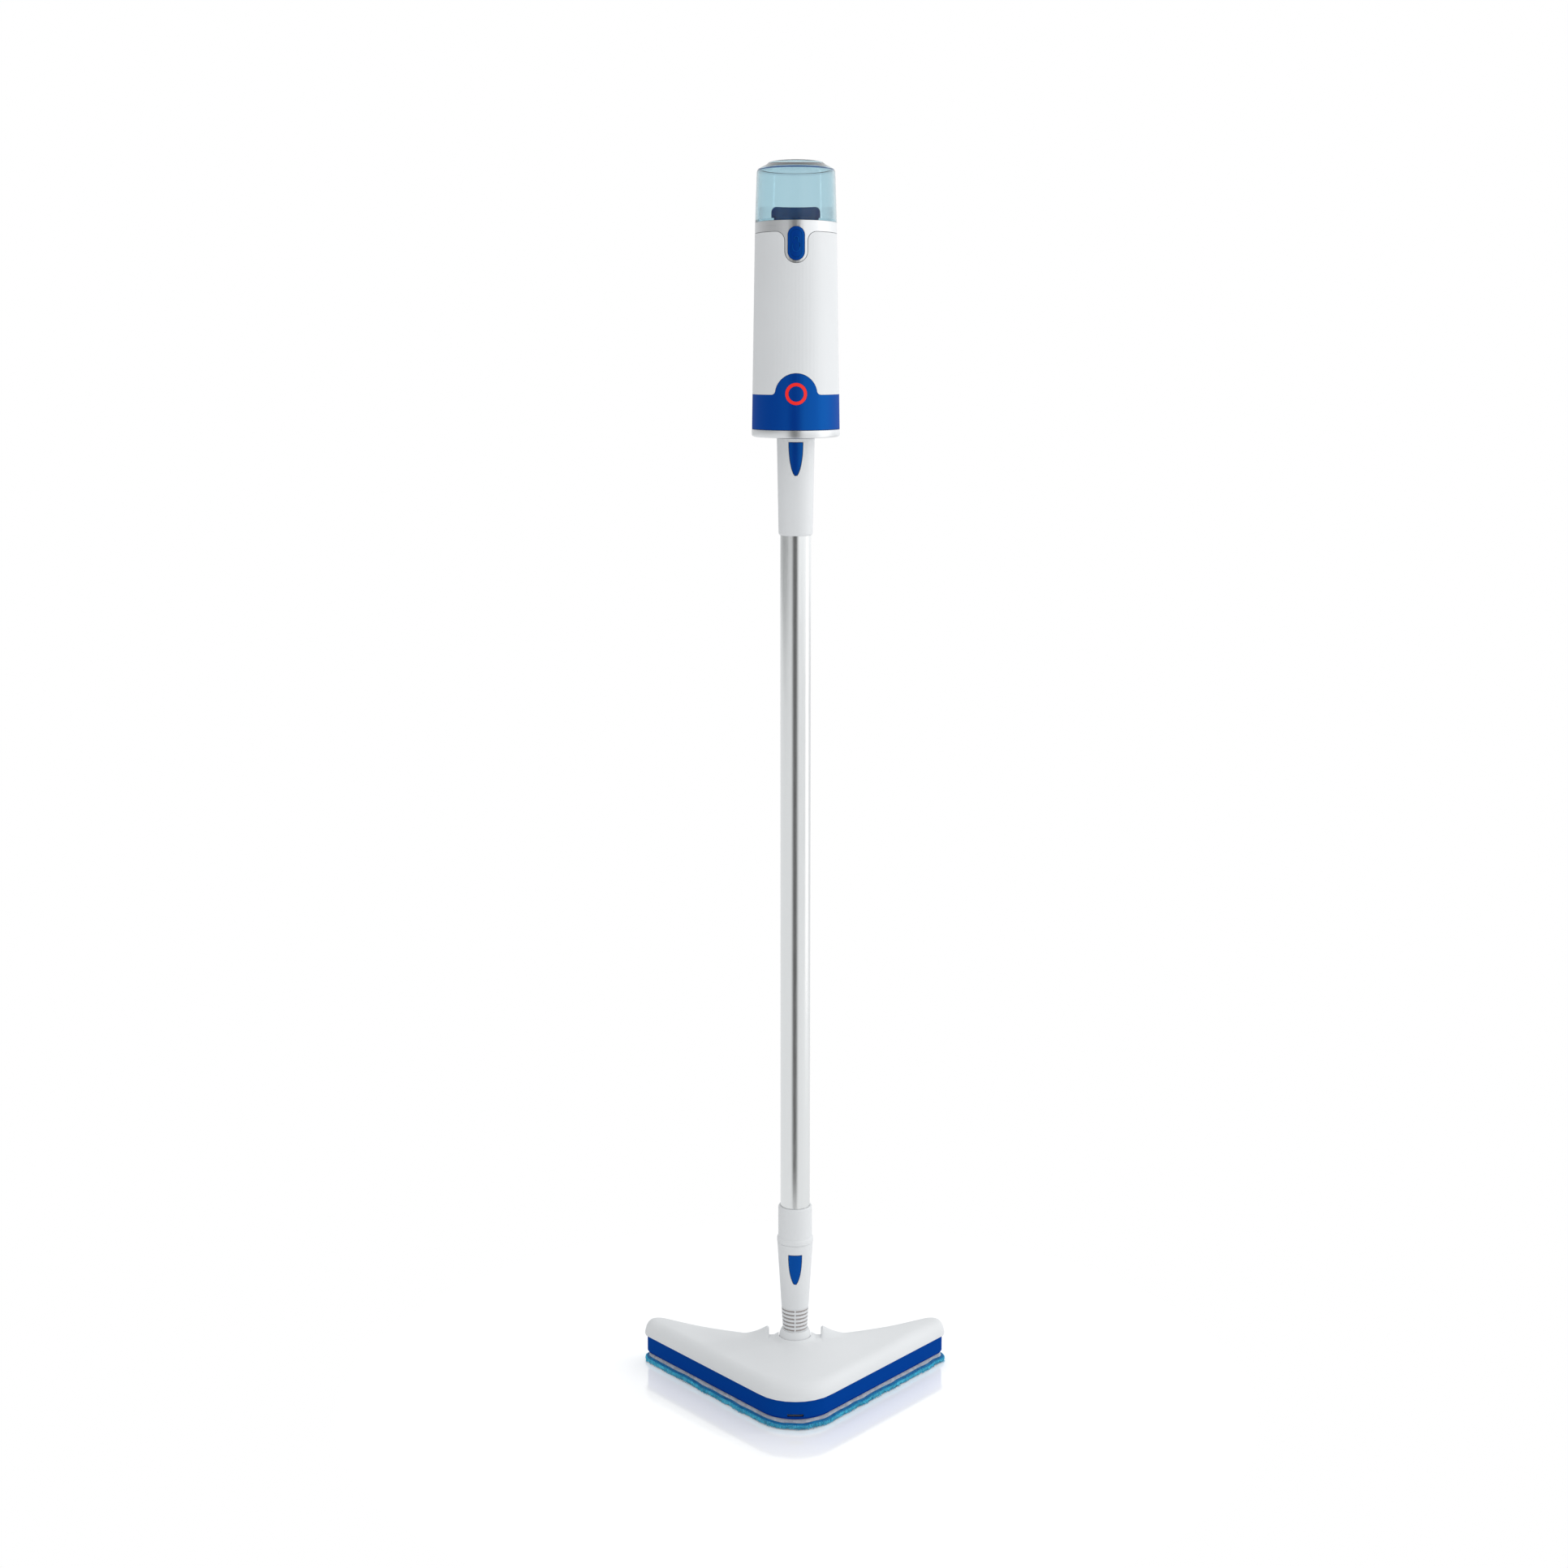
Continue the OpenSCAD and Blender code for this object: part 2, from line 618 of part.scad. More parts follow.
// ================= neck joint =================
module tilt_cradle() {
    color("#c3c8cc") difference() {
        union() {
            translate([-10, 0, tilt_z]) rotate([0, 90, 0]) cylinder(r = 8, h = 20, $fn = 48);
            translate([-lug_x + seat_gap, 0, tilt_z]) rotate([0, 90, 0])
                cylinder(r = 5.5, h = 2*(lug_x - seat_gap), $fn = 48);
            translate([-4.5, -7.5, tilt_z]) cube([9, 15, roll_up]);
            translate([0, 0, roll_z]) rotate([90, 0, 0]) translate([0, 0, -11.5])
                cylinder(r = 4.5, h = 23, $fn = 40);
        }
        translate([-30, 0, tilt_z]) rotate([0, 90, 0]) cylinder(r = axle_r, h = 60, $fn = 48);
        translate([0, 0, roll_z]) rotate([90, 0, 0]) translate([0, 0, -20])
            cylinder(r = roll_pin_r, h = 40, $fn = 40);
    }
}
module roll_pin() {
    h = 2*(ball_r - 1.6);
    color("silver") translate([0, 0, roll_z]) rotate([90, 0, 0]) translate([0, 0, -h/2])
        cylinder(r = roll_pin_r - fit, h = h, $fn = 40);
}

// ================= neck =================
function neck_r(z) = neck_foot_r + (neck_top_r - neck_foot_r)*(z - ball_top_z)/(neck_top_z - ball_top_z);
module neck_ball() {
    pin_h = 2*(ball_r - 1.3);
    color("#eef0f1") difference() {
        union() {
            intersection() {
                translate([0, 0, roll_z]) sphere(r = ball_r, $fn = 64);
                translate([-30, -30, roll_z - ball_cut]) cube([60, 60, ball_top_z - roll_z + ball_cut]);
            }
            cylinder_up(ball_top_z - 3, core_top_z, spigot_core_r);
        }
        intersection() {
            translate([0, 0, roll_z]) sphere(r = ball_r - ball_wall, $fn = 64);
            translate([-30, -30, roll_z - 30]) cube([60, 60, 30 + ball_top_z - roll_z - 3]);
        }
        cylinder_up(ball_top_z - 6, core_top_z + 1, spigot_core_r - 2.5);
        translate([0, 0, roll_z]) rotate([90, 0, 0]) translate([0, 0, -pin_h/2])
            cylinder(r = roll_pin_r, h = pin_h, $fn = 40);
    }
}
module cylinder_up(z0, z1, r) {
    translate([0, 0, z0]) cylinder(r = r, h = z1 - z0, $fn = 64);
}
module neck_sleeve() {
    z0 = ball_top_z + snug;
    color("#dfe2e4") difference() {
        translate([0, 0, z0]) cylinder(r1 = neck_r(z0), r2 = neck_r(sleeve_top_z), h = sleeve_h, $fn = 96);
        cylinder_up(z0 - 1, sleeve_top_z + 1, spigot_core_r + fit);
        for (i = [0:sleeve_ribs-1]) let (z = sleeve_top_z - 1 - rib_gap - i*rib_pitch)
            difference() {
                cylinder_up(z, z + rib_gap, neck_top_r + 2);
                cylinder_up(z - 1, z + rib_gap + 1, neck_r(z + rib_gap/2) - rib_depth);
                translate([-rib_spine/2, -30, z - 1]) cube([rib_spine, 60, rib_gap + 2]);
            }
    }
}
neck_shell_z = sleeve_top_z + snug;
module neck_shell() {
    edge = 0.3;
    color("#eef0f1") difference() {
        union() {
            translate([0, 0, neck_shell_z]) cylinder(r1 = neck_r(neck_shell_z),
                r2 = neck_r(neck_top_z - edge), h = neck_top_z - edge - neck_shell_z, $fn = 96);
            translate([0, 0, neck_top_z - edge]) cylinder(r1 = neck_r(neck_top_z - edge),
                r2 = neck_top_r - edge, h = edge, $fn = 96);
        }
        cylinder_up(neck_shell_z - 1, core_top_z + snug, spigot_core_r + fit);
        cylinder_up(core_top_z, core_top_z + web_h + 2, steam_r + 0.5 + fit);
        cylinder_up(core_top_z + snug + web_h, neck_top_z + 1, bore_r);
        button_pocket(neck_button_top);
    }
}
module neck_tube() {
    z0 = ball_top_z + 1;
    top = core_top_z + snug + web_h;
    color("#b9bec2") difference() {
        union() {
            cylinder_up(z0, top + 5, steam_r + 0.5);
            cylinder_up(top, top + 1.5, 8);
        }
        cylinder_up(z0 - 1, top + 6, steam_r - steam_wall);
    }
}
module neck_seal() {
    z = neck_top_z - pole_spigot - 3.4;
    color("#2b2b2b") difference() {
        cylinder_up(z, z + 3, bore_r - snug);
        cylinder_up(z - 1, z + 4, bore_r - 3.4);
    }
}
module neck_button() {
    color("#0a3a93") release_button(neck_button_top, neck_shell_z, neck_top_z,
        neck_r(neck_shell_z), neck_top_r);
}
module neck_button_spring() { color("silver") release_spring(neck_button_top); }

// ================= pole =================
module pole_tube() {
    color("#c8cbce") difference() {
        translate([0, 0, pole_z]) tube(pole_r, pole_wall, pole_top_z - pole_z);
        for (z = pole_screw_z) translate([0, 0, z]) rotate([-90, 0, 0])
            cylinder(r = 1.55, h = 30, $fn = 24);
    }
}
pole_screw_z = [pole_z + low_seat/2, pole_top_z - top_seat/2];
module collar_screw_cut(z, r) {
    translate([0, 0, z]) rotate([-90, 0, 0]) {
        cylinder(r = 1.55, h = 30, $fn = 24);
        translate([0, 0, r - 1.2]) cylinder(r = 2.9, h = 10, $fn = 24);
    }
}
module pole_screws() {
    color("silver") for (i = [0, 1]) let (r = i == 0 ? low_collar_r : socket_foot_r)
        translate([0, 0, pole_screw_z[i]]) rotate([-90, 0, 0]) {
            translate([0, 0, r - 6]) cylinder(r = 1.5, h = 5.5, $fn = 24);
            translate([0, 0, r - 1.2]) cylinder(r = 2.7, h = 1.1, $fn = 24);
        }
}
module lower_collar() {
    z0 = neck_top_z - pole_spigot;
    bead = 3.4;
    color("#eef0f1") difference() {
        union() {
            cylinder_up(z0, collar_z + 1, spigot_r);
            cylinder_up(collar_z, collar_top_z - 1.5, low_collar_r);
            translate([0, 0, collar_top_z - 1.5]) cylinder(r1 = low_collar_r,
                r2 = low_collar_r - 1, h = 1.5, $fn = 96);
            translate([0, 0, collar_z + bead]) rotate_extrude($fn = 96) intersection() {
                translate([bead_r - bead, 0]) circle(r = bead, $fn = 32);
                square([bead_r, bead]);
            }
            cylinder_up(collar_z, collar_z + bead, bead_r);
        }
        cylinder_up(pole_z, collar_top_z + 1, pole_bore_r);
        cylinder_up(z0 - 1, pole_z + 1, steam_r + fit);
        spigot_groove(z0, neck_button_top);
        collar_screw_cut(pole_screw_z[0], low_collar_r);
    }
}
module upper_socket() {
    edge = 3;
    color("#eef0f1") difference() {
        union() {
            translate([0, 0, socket_z]) rotate_extrude($fn = 96) intersection() {
                union() {
                    translate([socket_foot_r - edge, edge]) circle(r = edge, $fn = 32);
                    square([socket_foot_r - edge, edge]);
                }
                square([socket_foot_r, edge]);
            }
            translate([0, 0, socket_z + edge]) cylinder(r1 = socket_foot_r, r2 = socket_top_r,
                h = socket_h - edge, $fn = 96);
        }
        cylinder_up(socket_z - 1, socket_web_z, pole_bore_r);
        cylinder_up(socket_web_z - 1, socket_web_z + web_h + 1, steam_r + fit);
        cylinder_up(socket_web_z + web_h, socket_top_z + 1, bore_r);
        button_pocket(socket_button_top);
        collar_screw_cut(pole_screw_z[1], socket_foot_r);
    }
}
module socket_seal() {
    z0 = socket_web_z + web_h;
    z1 = socket_top_z - unit_spigot - seat_gap;
    color("#2b2b2b") difference() {
        cylinder_up(z0, z1, bore_r - snug);
        cylinder_up(z0 - 1, z1 + 1, steam_r + 1.5);
    }
}
module pole_steam_tube() {
    z0 = neck_top_z - pole_spigot;
    color("#b9bec2") translate([0, 0, z0]) difference() {
        cylinder(r = steam_r, h = socket_web_z + web_h - z0, $fn = 48);
        translate([0, 0, -1]) cylinder(r = steam_r - steam_wall, h = pole_bare + 200, $fn = 48);
    }
}
module socket_button() {
    color("#0a3a93") release_button(socket_button_top, socket_z + 3, socket_top_z,
        socket_foot_r, socket_top_r);
}
module socket_button_spring() { color("silver") release_spring(socket_button_top); }

// ================= steam unit =================
floor_t = 2.4;
flange_z = unit_z + 2.5;
chassis_z = flange_z + 2.6;
deck_z = chassis_z + 91;
boiler_h = 70;
boiler_r = 22;
pump_z = deck_z + 2.6;
hose_x = 12;
post_x = 33;

module base_cap() {
    edge = 2.4;
    color("#c5c8cb") difference() {
        union() {
            loft([unit_ring(unit_z, 0.2 - edge), unit_ring(unit_z + edge*0.3, 0.2 - edge*0.3),
                unit_ring(unit_z + edge, 0.2), unit_ring(cap_top_z - seam, 0.2)]);
            cylinder_up(unit_z - cap_boss_h, unit_z + 1, cap_boss_r);
        }
        unit_solid(unit_z + 2.4, cap_top_z + 1, -2.4);
        cylinder_up(unit_z - 2, unit_z + 4, spigot_r + snug);
        for (s = [-1, 1]) translate([s*post_x, 0, unit_z - 1]) {
            cylinder(r = 1.6, h = 8, $fn = 24);
            cylinder(r = 3.2, h = 2.2, $fn = 24);
        }
    }
}
module nozzle() {
    z0 = socket_top_z - unit_spigot;
    color("#d5d8db") difference() {
        union() {
            cylinder_up(z0, flange_z, spigot_r);
            cylinder_up(flange_z, chassis_z - snug, 18);
            cylinder_up(flange_z, chassis_z + 2.4, 6);
        }
        cylinder_up(z0 - 1, chassis_z + 4, steam_r + fit);
        spigot_groove(z0, socket_button_top);
    }
}
module chassis() {
    color("#b4b9bd") difference() {
        union() {
            unit_solid(chassis_z, chassis_z + 2.5, -body_wall - 0.3);
            unit_solid(deck_z, deck_z + 2.5, -body_wall - 0.3);
            for (s = [-1, 1]) translate([s*post_x, 0, flange_z])
                cylinder(r = 4, h = deck_z - flange_z, $fn = 32);
        }
        cylinder_up(chassis_z - 1, chassis_z + 4, 6.1);
        translate([hose_x, 0, deck_z - 1]) cylinder(r = 4.8, h = 5, $fn = 32);
        for (s = [-1, 1]) translate([s*post_x, 0, flange_z - 1]) cylinder(r = 1.55, h = 20, $fn = 24);
    }
}
module boiler() {
    z0 = chassis_z + 2.5;
    color("#a9adb0") union() {
        difference() {
            cylinder_up(z0, z0 + boiler_h, boiler_r);
            cylinder_up(z0 + 3, z0 + boiler_h - 3, boiler_r - 2);
            cylinder_up(z0 - 1, z0 + 4, steam_r);
            translate([hose_x, 0, z0 + boiler_h - 4]) cylinder(r = 1.8, h = 16, $fn = 32);
        }
        difference() {
            translate([hose_x, 0, z0 + boiler_h - 1]) cylinder(r = 3, h = 9, $fn = 32);
            translate([hose_x, 0, z0 + boiler_h - 4]) cylinder(r = 1.8, h = 16, $fn = 32);
        }
    }
}
module thermostat() {
    z0 = chassis_z + 2.5 + boiler_h;
    color("#8d6b3f") translate([-9, 0, z0]) {
        cylinder(r = 8, h = 4, $fn = 40);
        for (s = [-1, 1]) translate([s*4 - 1.5, -0.4, 3.9]) cube([3, 0.8, 7]);
    }
}
module pump() {
    color("#6d7276") union() {
        translate([-17, -22, pump_z]) cube([34, 44, 24]);
        translate([-9, 0, pump_z + 12]) rotate([90, 0, 0]) translate([0, 0, -30])
            cylinder(r = 7, h = 60, $fn = 40);
        translate([hose_x, 0, pump_z - 7]) cylinder(r = 3, h = 8, $fn = 32);
        cylinder_up(pump_z + 23, pump_z + 33, 4);
    }
}
module pump_hose() {
    z0 = chassis_z + 2.5 + boiler_h + 0.5;
    color("#9fb7c4") translate([hose_x, 0, z0]) tube(4.4, 1.35, pump_z - z0 - 0.5);
}
seat_top_z = body_top_z + 0.3;
well_z = seat_top_z - 21.4;
well_r = filler_r + 1.8;
cage_z = well_z + 16.5;
module feed_hose() {
    color("#9fb7c4") translate([0, 0, pump_z + 24.5]) tube(5.6, 1.55, well_z - pump_z - 26);
}
module control_board() {
    y = 0.7*unit_y(cap_top_z);
    color("#1f6b3a") union() {
        translate([-24, -y, chassis_z + 2.5]) cube([48, 1.6, 74]);
        for (z = [10, 30, 52]) translate([-14, -y + 1.5, chassis_z + 2.5 + z]) cube([10, 4, 9]);
    }
}
module body_front() {
    color("#eef0f1") difference() {
        unit_shell(band_top_z + snug, body_top_z - seam, 0, -body_wall);
        translate([-far/2, 0, 0]) cube([far, far, 2000]);
        to_front() arch_shape(0.15);
        to_front() tongue_shape(seam);
    }
}
spine_screws = [for (s = [-1, 1], z = [cap_top_z + 12, body_top_z - 14]) [s*17, z]];
spine_low_z = cap_top_z + 3;
module rear_boss(p, r, y0, y1) {
    translate([p[0], y0, p[1]]) rotate([-90, 0, 0]) cylinder(r = r, h = y1 - y0, $fn = 32);
}
module body_rear() {
    color("#eef0f1") difference() {
        union() {
            difference() {
                unit_shell(band_top_z + snug, body_top_z - seam, 0, -body_wall);
                translate([-far/2, -far, 0]) cube([far, far + snug, 2000]);
            }
            intersection() {
                for (p = spine_screws) if (p[1] > band_top_z + 10)
                    rear_boss(p, 3.6, unit_y(body_top_z) - 20, unit_y(band_top_z));
                unit_solid(band_top_z + 1, body_top_z - 1, -0.5);
            }
        }
        for (p = spine_screws) rear_boss(p, 1.55, unit_y(body_top_z) - 22, unit_y(band_top_z) + 5);
    }
}
module blue_band() {
    color("#0a3a93") difference() {
        union() {
            difference() {
                unit_shell(cap_top_z, band_top_z + arch_r + 1, 0, -body_wall);
                difference() {
                    translate([-far/2, -far/2, band_top_z]) cube([far, far, far]);
                    to_front() arch_shape(0);
                }
            }
            intersection() {
                for (p = spine_screws) if (p[1] < band_top_z)
                    rear_boss(p, 3.6, unit_y(band_top_z) - 20, unit_y(cap_top_z));
                unit_solid(cap_top_z + 1, band_top_z - 1, -0.5);
            }
        }
        ring_form(snug, 2, -1.5 - snug/2);
        for (p = spine_screws) rear_boss(p, 1.55, unit_y(band_top_z) - 22, unit_y(cap_top_z) + 5);
    }
}
module ring_shape(grow) {
    translate([0, band_top_z + 1]) difference() {
        circle(r = ring_r + grow, $fn = 64);
        circle(r = ring_r - ring_w - grow, $fn = 64);
    }
}
module ring_form(grow, outer, inner) {
    intersection() {
        to_front() ring_shape(grow);
        unit_shell(cap_top_z, band_top_z + arch_r, outer, inner);
    }
}
module indicator_ring() {
    color("#d8202a") ring_form(0, 0.15, -1.5);
}
lock_z = body_top_z - tongue_h + lock_rise;
lock_back_y = unit_y(body_top_z) - 8.7;      // free space behind the lock button
module collar() {
    color("#c5c8cb") difference() {
        unit_shell(body_top_z - tongue_h - 2, collar2_top_z, 0, -2.4);
        difference() {
            translate([-far/2, -far/2, 0]) cube([far, far, body_top_z]);
            to_front() tongue_shape(0);
        }
        to_front() oblong(lock_w, lock_h, lock_z, 0.3);
    }
}
module lock_button() {
    module skin(outer, inner) {
        unit_shell(lock_z - 4, collar2_top_z, outer, inner);
    }
    color("#0a3a93") difference() {
        union() {
            intersection() {
                to_front() oblong(lock_w, lock_h, lock_z, 0);
                skin(0.7, -4.2);
            }
            intersection() {
                to_front() oblong(lock_w, lock_h, lock_z, 1.4);
                skin(-2.8, -4.2);
            }
        }
        intersection() {
            difference() {
                to_front() oblong(lock_w, lock_h, lock_z, -2.6);
                to_front() oblong(lock_w, lock_h, lock_z, -3.2);
            }
            skin(2, 0.3);
        }
    }
}
bracket_y = unit_y(body_top_z) - 17;
spring_z = lock_z + lock_h/2 - 2;
module lock_spring() {
    color("silver") translate([0, -bracket_y, spring_z]) rotate([90, 0, 0])
        coil(3.2, 0.4, 5, unit_y(spring_z) - 4.2 - bracket_y - 0.25);
}
module tank_seat() {
    color("#dfe2e4") difference() {
        union() {
            unit_solid(seat_top_z - 2.5, seat_top_z, -2.8);
            cylinder_up(well_z, seat_top_z, well_r + 2.4);
            cylinder_up(well_z - 9, well_z, 4);
            translate([-8, -bracket_y, spring_z - 7]) cube([16, 2.4, seat_top_z - 1 - spring_z + 7]);
        }
        difference() {
            cylinder_up(well_z + 2.4, seat_top_z + 1, well_r);
            cylinder_up(well_z, well_z + 4.3, 1.5);
        }
        for (s = [-1, 1]) translate([s*7, 0, well_z - 1]) cylinder(r = 2, h = 6, $fn = 24);
        cylinder_up(well_z - 10, well_z - 1, 2);
        translate([-5, -2, well_z - 3]) cube([10, 4, 2.2]);
        translate([-lock_w/2 - 3, -far/2, seat_top_z - 3])
            cube([lock_w + 6, far/2 - unit_y(body_top_z) + 10, 5]);
    }
}

// ================= water tank =================
tank_low_z = seat_top_z + seat_gap;
tank_rim_z = total_h - tank_dome_h;
tank_floor_z = tank_low_z;
function tank_half(z) = unit_half(collar2_top_z) - (z - collar2_top_z)*tank_taper;
function tank_ring(z, k, out) = let (a = tank_half(min(z, tank_rim_z)))
    oval(a*k + out, a*k*unit_depth_ratio + out, z);
module tank_form(out, z0) {
    rim = tank_rim_z;
    rise = tank_dome_h + out;
    loft([tank_ring(z0, 1, out), tank_ring(rim - 1.6, 1, out), tank_ring(rim - 0.4, 0.992, out),
        tank_ring(rim + 0.12*rise, 0.965, out), tank_ring(rim + 0.34*rise, 0.87, out),
        tank_ring(rim + 0.52*rise, 0.78, out), tank_ring(rim + 0.8*rise, 0.7, out),
        tank_ring(rim + 0.9*rise, 0.6, out), tank_ring(rim + 0.97*rise, 0.36, out),
        tank_ring(rim + rise, 0.12, out)]);
}
skirt_out = -2.4 - seat_gap;
cap_wall = 2.8;
module lock_recess(grow) {
    a = lock_w/2 + 2.6 + grow;
    translate([-a, -far/2, tank_low_z - 1])
        cube([2*a, far/2 - lock_back_y + grow, lock_z + lock_h + 3 + grow - tank_low_z + 1]);
}
module water_tank() {
    color([0.55, 0.8, 0.9, 0.5]) difference() {
        union() {
            difference() {
                union() {
                    tank_form(0, collar2_top_z + 0.2);
                    unit_solid(tank_low_z, collar2_top_z + 0.4, skirt_out);
                }
                tank_form(-tank_wall, collar2_top_z + 2.4);
                unit_solid(tank_low_z - 1, collar2_top_z + 3, skirt_out - 2.2);
            }
            intersection() {
                unit_solid(tank_low_z, collar2_top_z + 2, skirt_out - 1);
                lock_recess(2.2);
            }
        }
        lock_recess(0);
    }
}
module tank_floor() {
    boss_r = filler_r - cap_wall - 0.08;
    color("#cfe4ec") difference() {
        union() {
            unit_solid(tank_floor_z, tank_floor_z + floor_t, skirt_out - 2.2 - snug);
            cylinder_up(well_z + 9.5, tank_floor_z + 1, boss_r);
        }
        cylinder_up(well_z + 9, tank_floor_z + floor_t + 1, boss_r - 3);
        lock_recess(2.2 + snug);
    }
}
// cage inside the filler cap: three posts carry a pierced disc that holds the valve's spring
module valve_cage(low) {
    for (a = [0:120:240]) rotate([0, 0, a]) translate([7.6, 0, low])
        cylinder(r = 1.1, h = cage_z + 0.5 - low, $fn = 24);
    difference() {
        cylinder_up(cage_z, cage_z + 1.4, 9.2);
        for (a = [60:120:300]) rotate([0, 0, a]) translate([5.6, 0, cage_z - 1])
            cylinder(r = 1.8, h = 4, $fn = 24);
    }
}
module filler_cap() {
    low = well_z + 6;
    color("#0a3a93") union() {
        difference() {
            cylinder_up(low, tank_floor_z - snug, filler_r);
            cylinder_up(low + 2.4, tank_floor_z + 1, filler_r - cap_wall);
            cylinder_up(low - 1, low + 4, 2.2);
            difference() {
                cylinder_up(low + 4, low + 6, filler_r + 1);
                cylinder_up(low + 3, low + 7, filler_r - 0.8);
            }
        }
        valve_cage(low + 1);
    }
}
module tank_seal() {
    low = well_z + 10;
    color("#2b2b2b") difference() {
        cylinder_up(low + 0.1, low + 1.9, well_r - seat_gap);
        cylinder_up(low - 1, low + 3, filler_r - 0.8 + fit);
    }
}
valve_z = well_z + 4.6;
module tank_valve() {
    low = well_z + 8.7;
    color("#e8eaec") union() {
        cylinder_up(valve_z, low + 1, 1.8);
        cylinder_up(low, low + 2, 5);
    }
}
module valve_spring() {
    low = well_z + 10.8;
    color("silver") translate([0, 0, low]) coil(3.4, 0.35, 3, cage_z - low - 0.05);
}

// ================= handle =================
grip_y = handle_rear - grip_b;
low_arm_z = cap_top_z + handle_up;
top_arm_z = low_arm_z + handle_h;
root_y = unit_y(body_top_z) - 6;
handle_path = concat(
    [[root_y, top_arm_z], [grip_y - handle_corner_r - 12, top_arm_z]],
    [for (i = [0:6]) let (a = 90 - 15*i) [grip_y - handle_corner_r + handle_corner_r*cos(a),
        top_arm_z - handle_corner_r + handle_corner_r*sin(a)]],
    [for (i = [0:6]) let (a = -15*i) [grip_y - handle_corner_r + handle_corner_r*cos(a),
        low_arm_z + handle_corner_r + handle_corner_r*sin(a)]],
    [[grip_y - handle_corner_r - 12, low_arm_z], [root_y, low_arm_z]]);
function unit_vec(v) = v/norm(v);
function path_dir(i) = let (p = handle_path, n = len(p) - 1)
    unit_vec(i == 0 ? p[1] - p[0] : i == n ? p[n] - p[n-1]
        : unit_vec(p[i+1] - p[i]) + unit_vec(p[i] - p[i-1]));
module handle_form(shrink) {
    loft([for (i = [0:len(handle_path)-1]) let (c = handle_path[i], t = path_dir(i))
        [for (k = [0:27]) let (a = 360*k/28, u = (grip_a - shrink)*cos(a), v = (grip_b - shrink)*sin(a))
            [u, c[0] + v*t[1], c[1] - v*t[0]]]]);
}
trigger_top_z = top_arm_z - handle_corner_r - 4;
trigger_pin_y = grip_y - grip_b + 6;
arm_screw_y = grip_y - handle_corner_r - 22;
grip_screws = [for (h = [handle_corner_r + 4, 0.5*handle_h - 4]) [grip_y, low_arm_z + h]];
arm_screws = [[arm_screw_y, low_arm_z], [arm_screw_y, top_arm_z]];
spine_gap = 0.15;
lug_a = 7;               // half width of the spine's lugs inside the arms
gland_y = grip_y - handle_corner_r - 6;
gland_z = low_arm_z - 9.6;
module across(p, r, x0, x1) {
    translate([x0, p[0], p[1]]) rotate([0, 90, 0]) cylinder(r = r, h = x1 - x0, $fn = 32);
}
module handle_bosses() {
    for (p = grip_screws) across(p, 4, -grip_a, grip_a);
    for (s = [-1, 1]) scale([s, 1, 1]) {
        for (p = arm_screws) across(p, 4, lug_a + 0.3, grip_a);
        across([trigger_pin_y, trigger_top_z], 3.4, trigger_w/2 + 0.4, grip_a);
    }
    translate([0, gland_y, gland_z - 8]) cylinder(r = inlet_r + 5, h = 8, $fn = 40);
}
module handle_half(x0) {
    color("#0a3a93") difference() {
        intersection() {
            union() {
                difference() {
                    handle_form(0);
                    handle_form(handle_wall);
                }
                intersection() {
                    handle_form(0.6);
                    handle_bosses();
                }
            }
            translate([x0, 0, 0]) cube([grip_a, far, 2000]);
        }
        unit_solid(unit_z, total_h, spine_gap + spine_t + snug);
        across([trigger_pin_y, trigger_top_z], 1.55, -11, 11);
        translate([-trigger_w/2 - 0.4, grip_y - grip_b - 3, trigger_top_z - 42])
            cube([trigger_w + 0.8, handle_wall + 5.4, 47]);
        for (p = concat(grip_screws, arm_screws)) {
            across(p, 1.55, -8, grip_a);
            across(p, 3.2, grip_a - 4, grip_a + 1);
        }
        translate([0, gland_y, gland_z - 20]) cylinder(r = inlet_r + 2.6, h = 30, $fn = 40);
    }
}
module handle_left() { handle_half(-grip_a); }
module handle_right() { handle_half(snug/2); }
module cord_inlet() {
    color("#24282c") translate([0, gland_y, gland_z]) difference() {
        union() {
            translate([0, 0, -7]) cylinder(r = inlet_r + 2.5, h = 9, $fn = 40);
            translate([0, 0, snug]) cylinder(r = inlet_r + 3.5, h = 2, $fn = 40);
        }
        translate([0, 0, -10]) cylinder(r = inlet_r, h = 20, $fn = 40);
    }
}
module rounded_panel(a, z0, z1, r) {
    for (s = [-1, 1], z = [z0 + r, z1 - r]) translate([s*(a - r), z]) circle(r = r, $fn = 40);
    translate([-a + r, z0]) square([2*(a - r), z1 - z0]);
    translate([-a, z0 + r]) square([2*a, z1 - z0 - 2*r]);
}
module handle_spine() {
    top = collar2_top_z + spine_over;
    out = spine_gap + spine_t;
    tank_a = unit_half(collar2_top_z);
    tank_b = tank_a*unit_depth_ratio;
    color("#0a3a93") difference() {
        union() {
            intersection() {
                loft([unit_ring(spine_low_z, out), unit_ring(top - 3, out), unit_ring(top, out - 2.6)]);
                to_rear() rounded_panel(spine_w/2, spine_low_z, top, 6);
            }
            for (p = arm_screws) translate([-lug_a, 40, p[1] - 8]) cube([2*lug_a, p[0] - 35, 16]);
        }
        unit_solid(spine_low_z - 1, collar2_top_z, spine_gap);
        loft([for (z = [collar2_top_z - eps, top + 1]) oval(tank_a + 0.4, tank_b + 0.4, z)]);
        for (p = arm_screws) across(p, 1.6, -far/2, far/2);
        for (p = spine_screws) {
            rear_boss(p, 1.6, 20, 80);
            rear_boss(p, 3.2, spine_screw_y(p), 90);
        }
    }
}
function spine_screw_y(p) = unit_y(p[1])*0.92 + 4;
